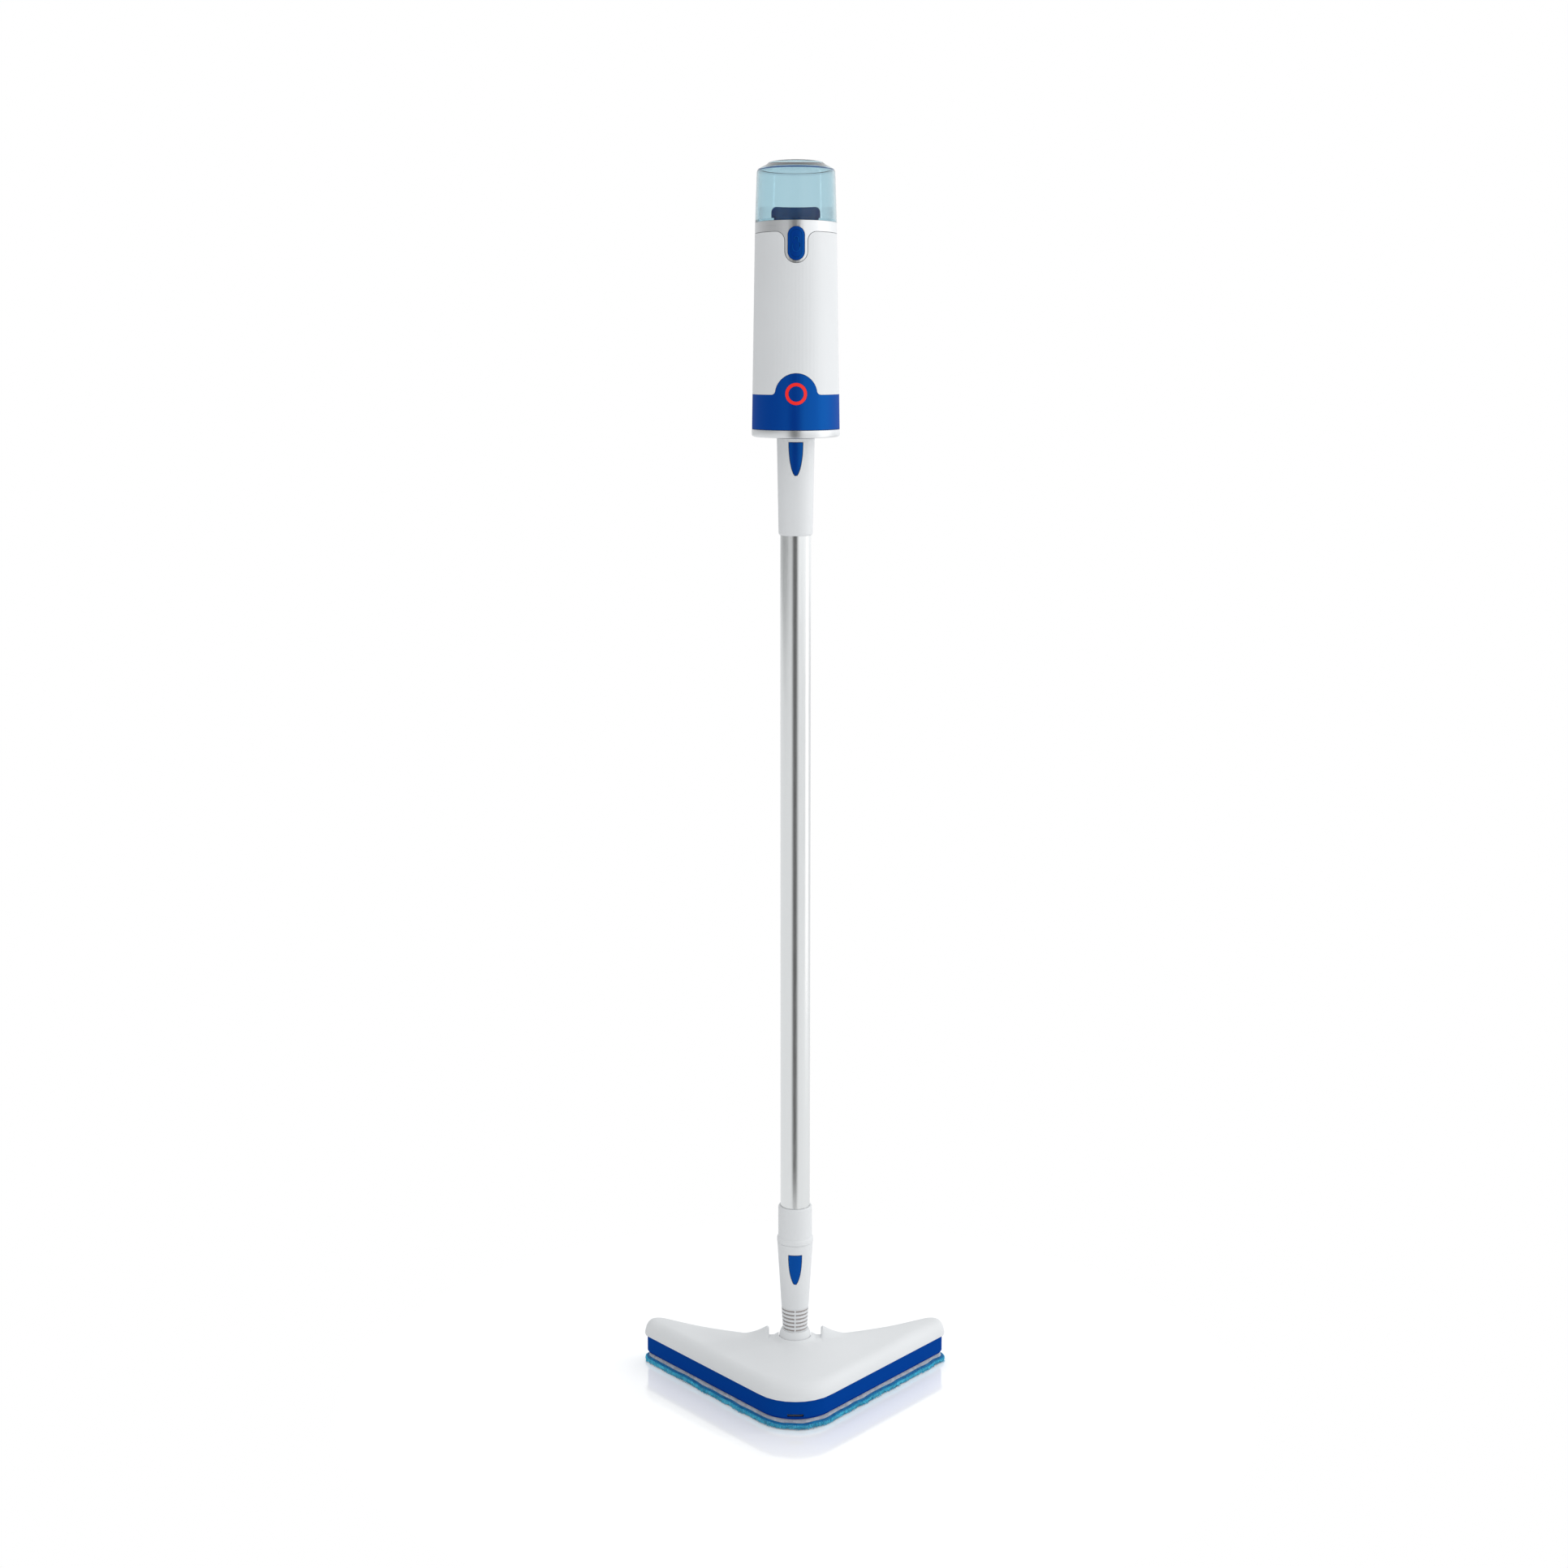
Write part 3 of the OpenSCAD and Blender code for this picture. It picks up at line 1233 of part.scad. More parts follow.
module screw() {
    difference() {
        union() {
            translate([0, 0, -1.1]) cylinder(r = 3, h = 1.1, $fn = 24);
            translate([0, 0, -0.1]) cylinder(r = 1.5, h = 18.1, $fn = 24);
        }
        for (a = [0, 90]) rotate([0, 0, a]) translate([-1.7, -0.4, -1.2]) cube([3.4, 0.8, 0.7]);
    }
}
module unit_screws() {
    color("silver") {
        for (s = [-1, 1]) translate([s*post_x, 0, unit_z + 1.2]) screw();
        for (p = spine_screws) translate([p[0], spine_screw_y(p), p[1]]) rotate([90, 0, 0]) screw();
        for (p = concat(grip_screws, arm_screws)) translate([grip_a - 4, p[0], p[1]])
            rotate([0, -90, 0]) screw();
    }
}
module trigger_pin() {
    color("silver") across([trigger_pin_y, trigger_top_z], 1.5, -10.8, 10.8);
}
// the switch stands behind the trigger; its nub is in line with the trigger's tail
nub_z = trigger_top_z - 30.5;
tail_y = trigger_pin_y + 4.9;
switch_y = grip_y + 1.2;
module steam_trigger() {
    y = trigger_pin_y;
    z = trigger_top_z;
    color("#e8eaec") translate([-trigger_w/2, 0, 0]) rotate([90, 0, 90]) linear_extrude(trigger_w)
        difference() {
            union() {
                translate([y, z]) circle(r = 3.6, $fn = 40);
                polygon([[y - 3.6, z], [y - 11, z - 14], [y - 12.5, z - 24], [y - 11, z - 34],
                    [y - 8, z - 38], [y - 4.6, z - 38], [y - 4.6, nub_z - 3.5], [tail_y, nub_z - 3.5],
                    [tail_y, nub_z + 3.5], [y - 4.6, nub_z + 3.5], [y - 4.6, z - 12], [y + 3.6, z]]);
            }
            translate([y, z]) circle(r = 1.6, $fn = 32);
        }
}
module trigger_switch() {
    depth = grip_b - handle_wall - 0.7 - 1.2;
    color("#22262a") union() {
        translate([-3.2, switch_y, nub_z - 8]) cube([6.4, depth, 16]);
        translate([-1.4, switch_y - 1.4, nub_z - 1.4]) cube([2.8, 1.5, 2.8]);
    }
}
module trigger_spring() {
    color("silver") translate([0, switch_y - 0.03, nub_z]) rotate([90, 0, 0])
        coil(2.6, 0.35, 3, switch_y - tail_y - 0.06);
}

mop_pad();
pad_felt();
sole_plate();
skirt();
head_cover();
head_screws();
pivot_frame();
tilt_axle();
steam_manifold();
head_hose();
tilt_cradle();
roll_pin();
neck_ball();
neck_sleeve();
neck_shell();
neck_tube();
neck_seal();
neck_button();
neck_button_spring();
lower_collar();
pole_tube();
pole_steam_tube();
pole_screws();
upper_socket();
socket_seal();
socket_button();
socket_button_spring();
nozzle();
base_cap();
chassis();
boiler();
thermostat();
pump();
pump_hose();
feed_hose();
control_board();
blue_band();
indicator_ring();
body_front();
body_rear();
collar();
lock_button();
lock_spring();
tank_seat();
water_tank();
tank_floor();
filler_cap();
tank_seal();
tank_valve();
valve_spring();
handle_spine();
handle_left();
handle_right();
unit_screws();
cord_inlet();
steam_trigger();
trigger_pin();
trigger_switch();
trigger_spring();
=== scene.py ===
"""Steam mop: materials, pad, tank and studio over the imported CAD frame.

Metres. +Z is up, -Y is the front, the origin is on the floor under the pole.
"""
import json
import math
import random

import bpy
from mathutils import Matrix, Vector, noise

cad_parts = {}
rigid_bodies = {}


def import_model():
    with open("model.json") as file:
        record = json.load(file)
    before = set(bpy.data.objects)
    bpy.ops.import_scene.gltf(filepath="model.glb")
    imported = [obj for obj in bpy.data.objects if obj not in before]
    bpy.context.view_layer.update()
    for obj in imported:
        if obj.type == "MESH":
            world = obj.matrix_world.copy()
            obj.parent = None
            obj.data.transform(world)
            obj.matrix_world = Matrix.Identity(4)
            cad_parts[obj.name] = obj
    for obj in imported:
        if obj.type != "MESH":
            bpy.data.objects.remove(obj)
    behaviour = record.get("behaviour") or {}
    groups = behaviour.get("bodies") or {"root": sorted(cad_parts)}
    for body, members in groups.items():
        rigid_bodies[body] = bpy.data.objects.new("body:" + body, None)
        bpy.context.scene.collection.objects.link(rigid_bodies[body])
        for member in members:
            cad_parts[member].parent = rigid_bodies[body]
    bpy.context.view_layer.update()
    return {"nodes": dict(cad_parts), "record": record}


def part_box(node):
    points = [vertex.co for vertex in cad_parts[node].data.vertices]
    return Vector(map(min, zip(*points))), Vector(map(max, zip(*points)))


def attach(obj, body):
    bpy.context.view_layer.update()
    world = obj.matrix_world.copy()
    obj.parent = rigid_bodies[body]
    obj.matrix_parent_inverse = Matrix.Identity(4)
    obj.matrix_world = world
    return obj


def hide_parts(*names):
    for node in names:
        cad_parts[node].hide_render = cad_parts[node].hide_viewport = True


for leftover in list(bpy.data.objects):
    bpy.data.objects.remove(leftover)

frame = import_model()
NODES = frame["nodes"]
MM = 0.001
rng = random.Random(7)


# ---------------------------------------------------------------- camera
LENS_MM = 54.26
SENSOR_MM = 36
CAMERA_PLACE = (-0.012, -2.430, 1.1063)
CAMERA_TILT = math.radians(79.8)


def make_camera():
    """The photograph's camera: level from side to side and aimed a little down."""
    data = bpy.data.cameras.new("camera")
    data.lens = LENS_MM
    data.sensor_width = SENSOR_MM
    cam = bpy.data.objects.new("camera", data)
    cam.location = CAMERA_PLACE
    cam.rotation_euler = (CAMERA_TILT, 0, 0)
    bpy.context.scene.collection.objects.link(cam)
    bpy.context.scene.camera = cam


make_camera()


# ---------------------------------------------------------------- node helpers
GRAIN_SCALE = 1500
GRAIN_DEPTH = 0.2 * MM
EDGE_R = 0.35 * MM
MOTTLE_SCALE = 14


def put(tree, kind, inputs=None, **settings):
    """Adds one shader node; a socket given as an input is linked, any other value is set."""
    made = tree.nodes.new("ShaderNode" + kind)
    for key, value in settings.items():
        setattr(made, key, value)
    for key, value in (inputs or {}).items():
        if isinstance(value, bpy.types.NodeSocket):
            tree.links.new(value, made.inputs[key])
        else:
            made.inputs[key].default_value = value
    return made


def blank_material(name):
    mat = bpy.data.materials.new(name)
    mat.use_nodes = True
    tree = mat.node_tree
    tree.nodes.clear()
    return mat, tree


def rgb(r, g, b):
    return (r, g, b, 1.0)


def object_coords(tree):
    return put(tree, "TexCoord").outputs["Object"]


def stretched(tree, scale):
    """Object coordinates with a scale of their own along each axis."""
    mapping = put(tree, "Mapping", {"Vector": object_coords(tree), "Scale": scale})
    return mapping.outputs["Vector"]


def noise_at(tree, vector, scale, detail=3.0, rough=0.55):
    """Fractal noise, about 0.3 to 0.7."""
    made = put(tree, "TexNoise", {"Vector": vector, "Scale": scale,
                                  "Detail": detail, "Roughness": rough})
    return made.outputs["Fac"]


def ranged(tree, value, low, high, start=0.3, end=0.7):
    """A ramp from low to high while the value goes from start to end."""
    made = put(tree, "MapRange", {"Value": value, "From Min": start, "From Max": end,
                                  "To Min": low, "To Max": high})
    return made.outputs["Result"]


def mixed(tree, fac, first, second):
    """The first colour where fac is 0, the second where it is 1."""
    made = put(tree, "Mix", data_type="RGBA")
    tree.links.new(fac, made.inputs["Factor"])
    for key, value in (("A", first), ("B", second)):
        socket = next(s for s in made.inputs if s.name == key and s.type == "RGBA")
        socket.default_value = value
    return next(s for s in made.outputs if s.type == "RGBA")


def bumped(tree, height, strength, distance, normal=None):
    inputs = {"Height": height, "Strength": strength, "Distance": distance}
    if normal is not None:
        inputs["Normal"] = normal
    return put(tree, "Bump", inputs).outputs["Normal"]


def soft_edges(tree, radius):
    """A normal that rounds sharp edges."""
    return put(tree, "Bevel", {"Radius": radius}, samples=4).outputs["Normal"]


def moulded(tree, vector, grain, edge):
    """The normal of moulded plastic: a fine spark-eroded grain over rounded edges."""
    fine = noise_at(tree, vector, GRAIN_SCALE, 2)
    return bumped(tree, fine, grain, GRAIN_DEPTH, soft_edges(tree, edge))


def finish_material(tree, shader):
    put(tree, "OutputMaterial", {"Surface": shader})


# ---------------------------------------------------------------- materials
def shaded(colour, share):
    return rgb(*(c * share for c in colour))


def plastic(name, colour, roughness, grain=0.06, ior=1.4):
    """Moulded plastic: a fine spark-eroded grain, slight mottling and softened edges."""
    mat, tree = blank_material(name)
    vector = object_coords(tree)
    mottle = noise_at(tree, vector, MOTTLE_SCALE, 2)
    shader = put(tree, "BsdfPrincipled", {
        "Base Color": mixed(tree, mottle, shaded(colour, 0.94), rgb(*colour)),
        "Roughness": ranged(tree, mottle, roughness - 0.03, roughness + 0.05),
        "Normal": moulded(tree, vector, grain, EDGE_R), "IOR": ior})
    finish_material(tree, shader.outputs["BSDF"])
    return mat


def glossy_blue(name, colour, sheen_colour, share, roughness, grain=0.04):
    """Deep blue plastic whose gloss is itself blue: a matt body mixed with a tinted mirror."""
    mat, tree = blank_material(name)
    vector = object_coords(tree)
    mottle = noise_at(tree, vector, MOTTLE_SCALE, 2)
    grained = moulded(tree, vector, grain, EDGE_R)
    shader = put(tree, "BsdfPrincipled", {
        "Base Color": mixed(tree, mottle, shaded(colour, 0.93), rgb(*colour)),
        "Roughness": 0.6, "Specular IOR Level": 0.0, "Normal": grained})
    mirror = put(tree, "BsdfPrincipled", {
        "Base Color": rgb(*sheen_colour), "Metallic": 1.0, "Normal": grained,
        "Roughness": ranged(tree, mottle, roughness - 0.03, roughness + 0.05)})
    both = put(tree, "MixShader", {0: share, 1: shader.outputs["BSDF"],
                                   2: mirror.outputs["BSDF"]})
    finish_material(tree, both.outputs[0])
    return mat


def ribbed_plastic():
    """White plastic with a brownish painted shade in the grooves, below the taper of the ribs."""
    mat, tree = blank_material("ribbed_plastic")
    vector = object_coords(tree)
    flat = put(tree, "VectorMath", {0: vector, 1: (1, 1, 0)}, operation="MULTIPLY")
    reach = put(tree, "VectorMath", {0: flat.outputs["Vector"]}, operation="LENGTH")
    reach = reach.outputs["Value"]
    height = put(tree, "SeparateXYZ", {0: vector}).outputs["Z"]
    outer = ranged(tree, height, SLEEVE_FOOT_R, SLEEVE_TOP_R, SLEEVE_BOX[0][2], SLEEVE_BOX[1][2])
    below = put(tree, "Math", {0: reach, 1: outer}, operation="SUBTRACT").outputs[0]
    # Painted shade: the colour turns dark brown in the grooves, deeper than the ribs' outer taper.
    painted_groove_shade = ranged(tree, below, 1, 0, *GROOVE_PAINTED_SHADE)
    shader = put(tree, "BsdfPrincipled", {
        "Base Color": mixed(tree, painted_groove_shade, rgb(0.76, 0.77, 0.78), rgb(0.36, 0.30, 0.28)),
        "Roughness": 0.45, "IOR": 1.4,
        "Normal": moulded(tree, vector, 0.08, 0.2 * MM)})
    finish_material(tree, shader.outputs["BSDF"])
    return mat


def brushed(name, colour, roughness, along, grain):
    """Metal with fine lines that run along the axis whose scale is small."""
    mat, tree = blank_material(name)
    lines = noise_at(tree, stretched(tree, along), 1.0, 4, 0.7)
    shader = put(tree, "BsdfPrincipled", {
        "Base Color": mixed(tree, lines, shaded(colour, 0.88), rgb(*colour)),
        "Metallic": 1.0,
        "Roughness": ranged(tree, lines, roughness - 0.05, roughness + 0.07),
        "Normal": bumped(tree, lines, grain, 0.00006, soft_edges(tree, 0.3 * MM))})
    finish_material(tree, shader.outputs["BSDF"])
    return mat


def cloth(name, colour, dark, pile, fuzz):
    """Looped or felted fibre: the colour varies from tuft to tuft."""
    mat, tree = blank_material(name)
    vector = object_coords(tree)
    tufts = noise_at(tree, vector, pile, 4, 0.7)
    patches = noise_at(tree, vector, pile * 0.12, 2)
    both = put(tree, "Math", {0: tufts, 1: patches}, operation="MULTIPLY").outputs[0]
    shader = put(tree, "BsdfPrincipled", {
        "Base Color": mixed(tree, ranged(tree, both, 0, 1, 0.16, 0.36), rgb(*dark), rgb(*colour)),
        "Roughness": 0.95, "Sheen Weight": fuzz, "Sheen Roughness": 0.4,
        "Normal": bumped(tree, tufts, 0.8, 0.0006), "Specular IOR Level": 0.2})
    finish_material(tree, shader.outputs["BSDF"])
    return mat


def clear_plastic():
    """Clear tank wall with a painted dark line of refraction shade along its rim, which fades
    towards the rear.
    """
    mat, tree = blank_material("clear_tank")
    vector = object_coords(tree)
    axes = put(tree, "SeparateXYZ", {0: vector}).outputs
    off_rim = put(tree, "Math", {0: axes["Z"], 1: TANK_RIM}, operation="SUBTRACT").outputs[0]
    apart = put(tree, "Math", {0: off_rim}, operation="ABSOLUTE").outputs[0]
    off_painted_rim_shade = ranged(tree, apart, 0, 1, *PAINTED_RIM_LINE)
    rear = ranged(tree, axes["Y"], 0, 0.85, *PAINTED_RIM_FADE)
    clear = put(tree, "Math", {0: off_painted_rim_shade, 1: rear}, operation="MAXIMUM").outputs[0]
    wavy = bumped(tree, noise_at(tree, vector, 30, 2), 0.04, 0.0006)
    # Painted shade: the wall's colour turns dark blue along the rim, except towards the rear.
    shader = put(tree, "BsdfPrincipled", {
        "Base Color": mixed(tree, clear, rgb(0.01, 0.06, 0.24), rgb(0.71, 0.83, 0.87)),
        "Roughness": 0.02, "IOR": 1.33,
        "Transmission Weight": 1.0, "Normal": wavy})
    tint = put(tree, "VolumeAbsorption", {"Color": rgb(0.093, 0.495, 0.612), "Density": 60.0})
    put(tree, "OutputMaterial", {"Surface": shader.outputs["BSDF"],
                                 "Volume": tint.outputs["Volume"]})
    return mat


def red_with_painted_glow():
    """Red lens with a painted glow: it gives off a little light, though it is no lamp."""
    mat, tree = blank_material("red_lens")
    depth = noise_at(tree, object_coords(tree), 60, 2)
    # Painted glow: a faint red emission.
    shader = put(tree, "BsdfPrincipled", {
        "Base Color": mixed(tree, depth, rgb(0.80, 0.008, 0.01), rgb(0.95, 0.03, 0.02)),
        "Roughness": 0.3, "IOR": 1.4,
        "Emission Color": rgb(0.9, 0.01, 0.01), "Emission Strength": 0.12})
    finish_material(tree, shader.outputs["BSDF"])
    return mat


def circuit_board():
    """Green board with solder spots."""
    mat, tree = blank_material("circuit_board")
    cells = put(tree, "TexVoronoi", {"Vector": object_coords(tree), "Scale": 240})
    shader = put(tree, "BsdfPrincipled", {
        "Base Color": mixed(tree, ranged(tree, cells.outputs["Distance"], 0, 1, 0.2, 0.3),
                            rgb(0.30, 0.26, 0.10), rgb(0.02, 0.16, 0.06)),
        "Roughness": 0.4})
    finish_material(tree, shader.outputs["BSDF"])
    return mat


# Tank rim: its height, half the painted shade line's width with its soft edge, and where that
# painted shade fades in Y.
TANK_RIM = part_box("water_tank")[1][2] - 9.4 * MM
PAINTED_RIM_LINE = (0.4 * MM, 0.9 * MM)
PAINTED_RIM_FADE = (-4 * MM, 14 * MM)
SLEEVE_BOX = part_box("neck_sleeve")
SLEEVE_TOP_R = SLEEVE_BOX[1][0]
SLEEVE_FOOT_R = 13.2 * MM
# Depths below the ribs' taper where the grooves' painted shade is full and where it ends.
GROOVE_PAINTED_SHADE = (-1.5 * MM, -0.9 * MM)
BLUE = (0.0012, 0.020, 0.27)
MATERIALS = {
    "white_plastic": plastic("white_plastic", (0.79, 0.80, 0.81), 0.42, ior=1.35),
    "ribbed_plastic": ribbed_plastic(),
    "blue_plastic": glossy_blue("blue_plastic", BLUE, (0.03, 0.44, 1.0), 0.14, 0.33),
    "blue_relief": glossy_blue("blue_relief", (0.002, 0.05, 0.36), (0.03, 0.50, 1.0), 0.2, 0.3),
    "blue_skirt": glossy_blue("blue_skirt", (0.0008, 0.024, 0.27), (0.01, 0.45, 0.9), 0.07, 0.4,
                              0.08),
    "grey_plastic": plastic("grey_plastic", (0.55, 0.57, 0.59), 0.5, grain=0.12),
    "silver_plastic": brushed("silver_plastic", (0.84, 0.85, 0.86), 0.32, (18, 18, 2600), 0.2),
    "aluminium": brushed("aluminium", (0.86, 0.87, 0.87), 0.17, (900, 900, 30), 0.15),
    "steel": brushed("steel", (0.62, 0.63, 0.65), 0.28, (900, 900, 900), 0.3),
    "terry": cloth("terry", (0.10, 0.72, 0.98), (0.03, 0.42, 0.68), 900, 0.5),
    "tape": cloth("tape", (0.008, 0.22, 0.50), (0.003, 0.11, 0.32), 1500, 0.25),
    "felt": cloth("felt", (0.55, 0.58, 0.64), (0.34, 0.37, 0.44), 1300, 0.4),
    "clear_tank": clear_plastic(),
    "rubber": plastic("rubber", (0.03, 0.03, 0.033), 0.6, grain=0.2),
    "hose": plastic("hose", (0.42, 0.52, 0.58), 0.45),
    "black_plastic": plastic("black_plastic", (0.02, 0.02, 0.022), 0.45, grain=0.15),
    "red_lens": red_with_painted_glow(),
    "circuit_board": circuit_board(),
}
LOOK_OF_NODE = {"skirt": "blue_skirt", "neck_sleeve": "ribbed_plastic"}


# ---------------------------------------------------------------- CAD nodes
def smoothing_group(name, degrees):
    """Geometry nodes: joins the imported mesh's seams, then shades it smooth up to an edge angle."""
    group = bpy.data.node_groups.new(name, "GeometryNodeTree")
    group.interface.new_socket("Geometry", in_out="INPUT", socket_type="NodeSocketGeometry")
    group.interface.new_socket("Geometry", in_out="OUTPUT", socket_type="NodeSocketGeometry")
    nodes, links = group.nodes, group.links
    source = nodes.new("NodeGroupInput")
    merge = nodes.new("GeometryNodeMergeByDistance")
    merge.inputs["Distance"].default_value = 0.002 * MM
    plain = nodes.new("GeometryNodeRemoveAttribute")
    plain.inputs["Name"].default_value = "custom_normal"
    angle = nodes.new("GeometryNodeInputMeshEdgeAngle")
    small = nodes.new("FunctionNodeCompare")
    small.operation = "LESS_THAN"
    small.inputs["B"].default_value = math.radians(degrees)
    edges = nodes.new("GeometryNodeSetShadeSmooth")
    edges.domain = "EDGE"
    faces = nodes.new("GeometryNodeSetShadeSmooth")
    faces.domain = "FACE"
    target = nodes.new("NodeGroupOutput")
    links.new(source.outputs[0], merge.inputs["Geometry"])
    links.new(merge.outputs[0], plain.inputs["Geometry"])
    links.new(angle.outputs["Unsigned Angle"], small.inputs["A"])
    links.new(plain.outputs[0], edges.inputs["Geometry"])
    links.new(small.outputs["Result"], edges.inputs["Shade Smooth"])
    links.new(edges.outputs[0], faces.inputs["Geometry"])
    links.new(faces.outputs[0], target.inputs[0])
    return group


def dress_cad_nodes():
    """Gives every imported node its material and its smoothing."""
    usual = smoothing_group("smooth_to_31", 31)
    crisp = smoothing_group("smooth_to_9", 9)
    slots = {part["node"]: part["material_slot"] for part in frame["record"]["subparts"]}
    for name, obj in NODES.items():
        look = MATERIALS[LOOK_OF_NODE.get(name, slots[name])]
        obj.data.materials.clear()
        obj.data.materials.append(look)
        smooth = obj.modifiers.new("smooth", "NODES")
        smooth.node_group = crisp if name == "water_tank" else usual


dress_cad_nodes()


# ---------------------------------------------------------------- mesh helpers
def new_piece(name, body, look, verts, faces, replaces=()):
    """A smooth visible mesh that rides on a body."""
    mesh = bpy.data.meshes.new(name)
    mesh.from_pydata([tuple(v) for v in verts], [], faces)
    mesh.polygons.foreach_set("use_smooth", [True] * len(mesh.polygons))
    mesh.materials.append(MATERIALS[look])
    piece = bpy.data.objects.new(name, mesh)
    bpy.context.scene.collection.objects.link(piece)
    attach(piece, body)
    if replaces:
        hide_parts(*replaces)
    return piece


def stack(rings):
    """A capped skin over rings of points; every ring has the same number of points."""
    n = len(rings[0])
    verts = [p for ring in rings for p in ring]
    faces = []
    for i in range(len(rings) - 1):
        for j in range(n):
            k = (j + 1) % n
            faces.append((i * n + j, i * n + k, (i + 1) * n + k, (i + 1) * n + j))
    faces.append(tuple(range(n - 1, -1, -1)))
    faces.append(tuple((len(rings) - 1) * n + j for j in range(n)))
    return verts, faces


# ---------------------------------------------------------------- outline of the head
HEAD_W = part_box("head_cover")[1][0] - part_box("head_cover")[0][0]
HEAD_FRONT = -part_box("head_cover")[0][1]
CORNER_R = 48 * MM
TIP_R = 15 * MM
REAR_MID = 20 * MM
HOLLOW_R = 60 * MM
SIDE = math.radians(50 - 90)
REAR = math.radians(90 + 29.5)


class Outline:
    """The head seen from above: a rounded corner, two wing tips and a hollow rear edge."""

    def __init__(self):
        self.corner_y = CORNER_R - HEAD_FRONT
        self.side_d = math.sin(SIDE) * self.corner_y + CORNER_R
        self.tip_x = HEAD_W / 2 - TIP_R
        self.tip_y = (self.side_d - TIP_R - math.cos(SIDE) * self.tip_x) / math.sin(SIDE)
        self.rear_d = math.cos(REAR) * self.tip_x + math.sin(REAR) * self.tip_y + TIP_R
        self.hollow_y = REAR_MID + HOLLOW_R
        self.hollow_x = (self.rear_d + HOLLOW_R - math.sin(REAR) * self.hollow_y) / math.cos(REAR)

    def points(self, inset, step):
        """Points about one step apart, counterclockwise from the front corner."""
        right = self._arc((0, self.corner_y), CORNER_R - inset, -math.pi / 2, SIDE, step)
        tip = (self.tip_x, self.tip_y)
        right += self._line(right[-1], self._at(tip, TIP_R - inset, SIDE), step)
        right += self._arc(tip, TIP_R - inset, SIDE, REAR, step)
        hollow = (self.hollow_x, self.hollow_y)
        right += self._line(right[-1], self._at(hollow, HOLLOW_R + inset, REAR - math.pi), step)
        right += self._arc(hollow, HOLLOW_R + inset, REAR - math.pi, -math.pi / 2, step)
        right += self._line(right[-1], (0, REAR_MID - inset), step)
        left = [(-x, y) for x, y in reversed(right[1:-1])]
        return right + left

    @staticmethod
    def _at(centre, radius, angle):
        return (centre[0] + radius * math.cos(angle), centre[1] + radius * math.sin(angle))

    def _arc(self, centre, radius, a0, a1, step):
        n = max(2, round(abs(a1 - a0) * radius / step))
        return [self._at(centre, radius, a0 + (a1 - a0) * i / n) for i in range(n + 1)]

    @staticmethod
    def _line(p, q, step):
        n = max(1, round(math.dist(p, q) / step))
        return [(p[0] + (q[0] - p[0]) * i / n, p[1] + (q[1] - p[1]) * i / n)
                for i in range(1, n)]


HEAD = Outline()


# ---------------------------------------------------------------- mop pad
def outline_frame(path):
    """Each point of a closed path with its outward normal."""
    out = []
    for i, p in enumerate(path):
        a, b = path[i - 1], path[(i + 1) % len(path)]
        t = Vector((b[0] - a[0], b[1] - a[1])).normalized()
        out.append((Vector(p), Vector((t.y, -t.x))))
    return out


def waviness(p, seed):
    """Slow waves of the pad's edge, -1 to 1."""
    return noise.noise(Vector((p[0] * 55, p[1] * 55, seed)))


FELT_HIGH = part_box("pad_felt")[1][2]
PAD_INSET = 2.4 * MM
EDGE_PATH = HEAD.points(PAD_INSET, 1.8 * MM)


def edge_out(p):
    """How far the pad's edge waves outwards at this place."""
    return 1.5 * MM * waviness(p, 3.1)


def edge_up(p):
    """How far the pad's edge lifts at this place."""
    return 0.7 * MM * waviness(p, 8.7)


def sweep(path, section):
    """Carries a section of (outward, up) millimetres round the waving edge of the pad."""
    rings = []
    for p, n in outline_frame(path):
        out, up = edge_out(p), edge_up(p)
        rings.append([(p.x + n.x * (a * MM + out), p.y + n.y * (a * MM + out), b * MM + up)
                      for a, b in section])
    count, size = len(rings), len(section)
    verts = [v for ring in rings for v in ring]
    faces = []
    for i in range(count):
        for j in range(size):
            k, m = (j + 1) % size, (i + 1) % count
            faces.append((i * size + j, m * size + j, m * size + k, i * size + k))
    return verts, faces


def padded_piece(name, look, verts, faces, replaces=()):
    """A soft piece of the head, made with its look as its material."""
    piece = new_piece(name, "head", look, verts, faces, replaces=replaces)
    return piece


def make_pad():
    """The microfibre sole: a thin slab; its short nubs of pile underneath are made by make_nubs."""
    path = HEAD.points(PAD_INSET + 1.2 * MM, 2.2 * MM)
    rings = []
    for z, inset in ((0.9, 1.5), (1.3, 0.6), (2.5, 0.0), (5.5, 0.0), (6.6, 0.6)):
        rings.append([(p.x - n.x * inset * MM, p.y - n.y * inset * MM, z * MM)
                      for p, n in outline_frame(path)])
    verts, faces = stack(rings)
    padded_piece("microfibre_pad", "terry", verts, faces, replaces=("mop_pad",))


def inside(path, x, y):
    """True where a point lies inside a closed path."""
    hit = False
    for i, (x1, y1) in enumerate(path):
        x0, y0 = path[i - 1]
        if (y0 > y) != (y1 > y) and x < (x1 - x0) * (y - y0) / (y1 - y0) + x0:
            hit = not hit
    return hit


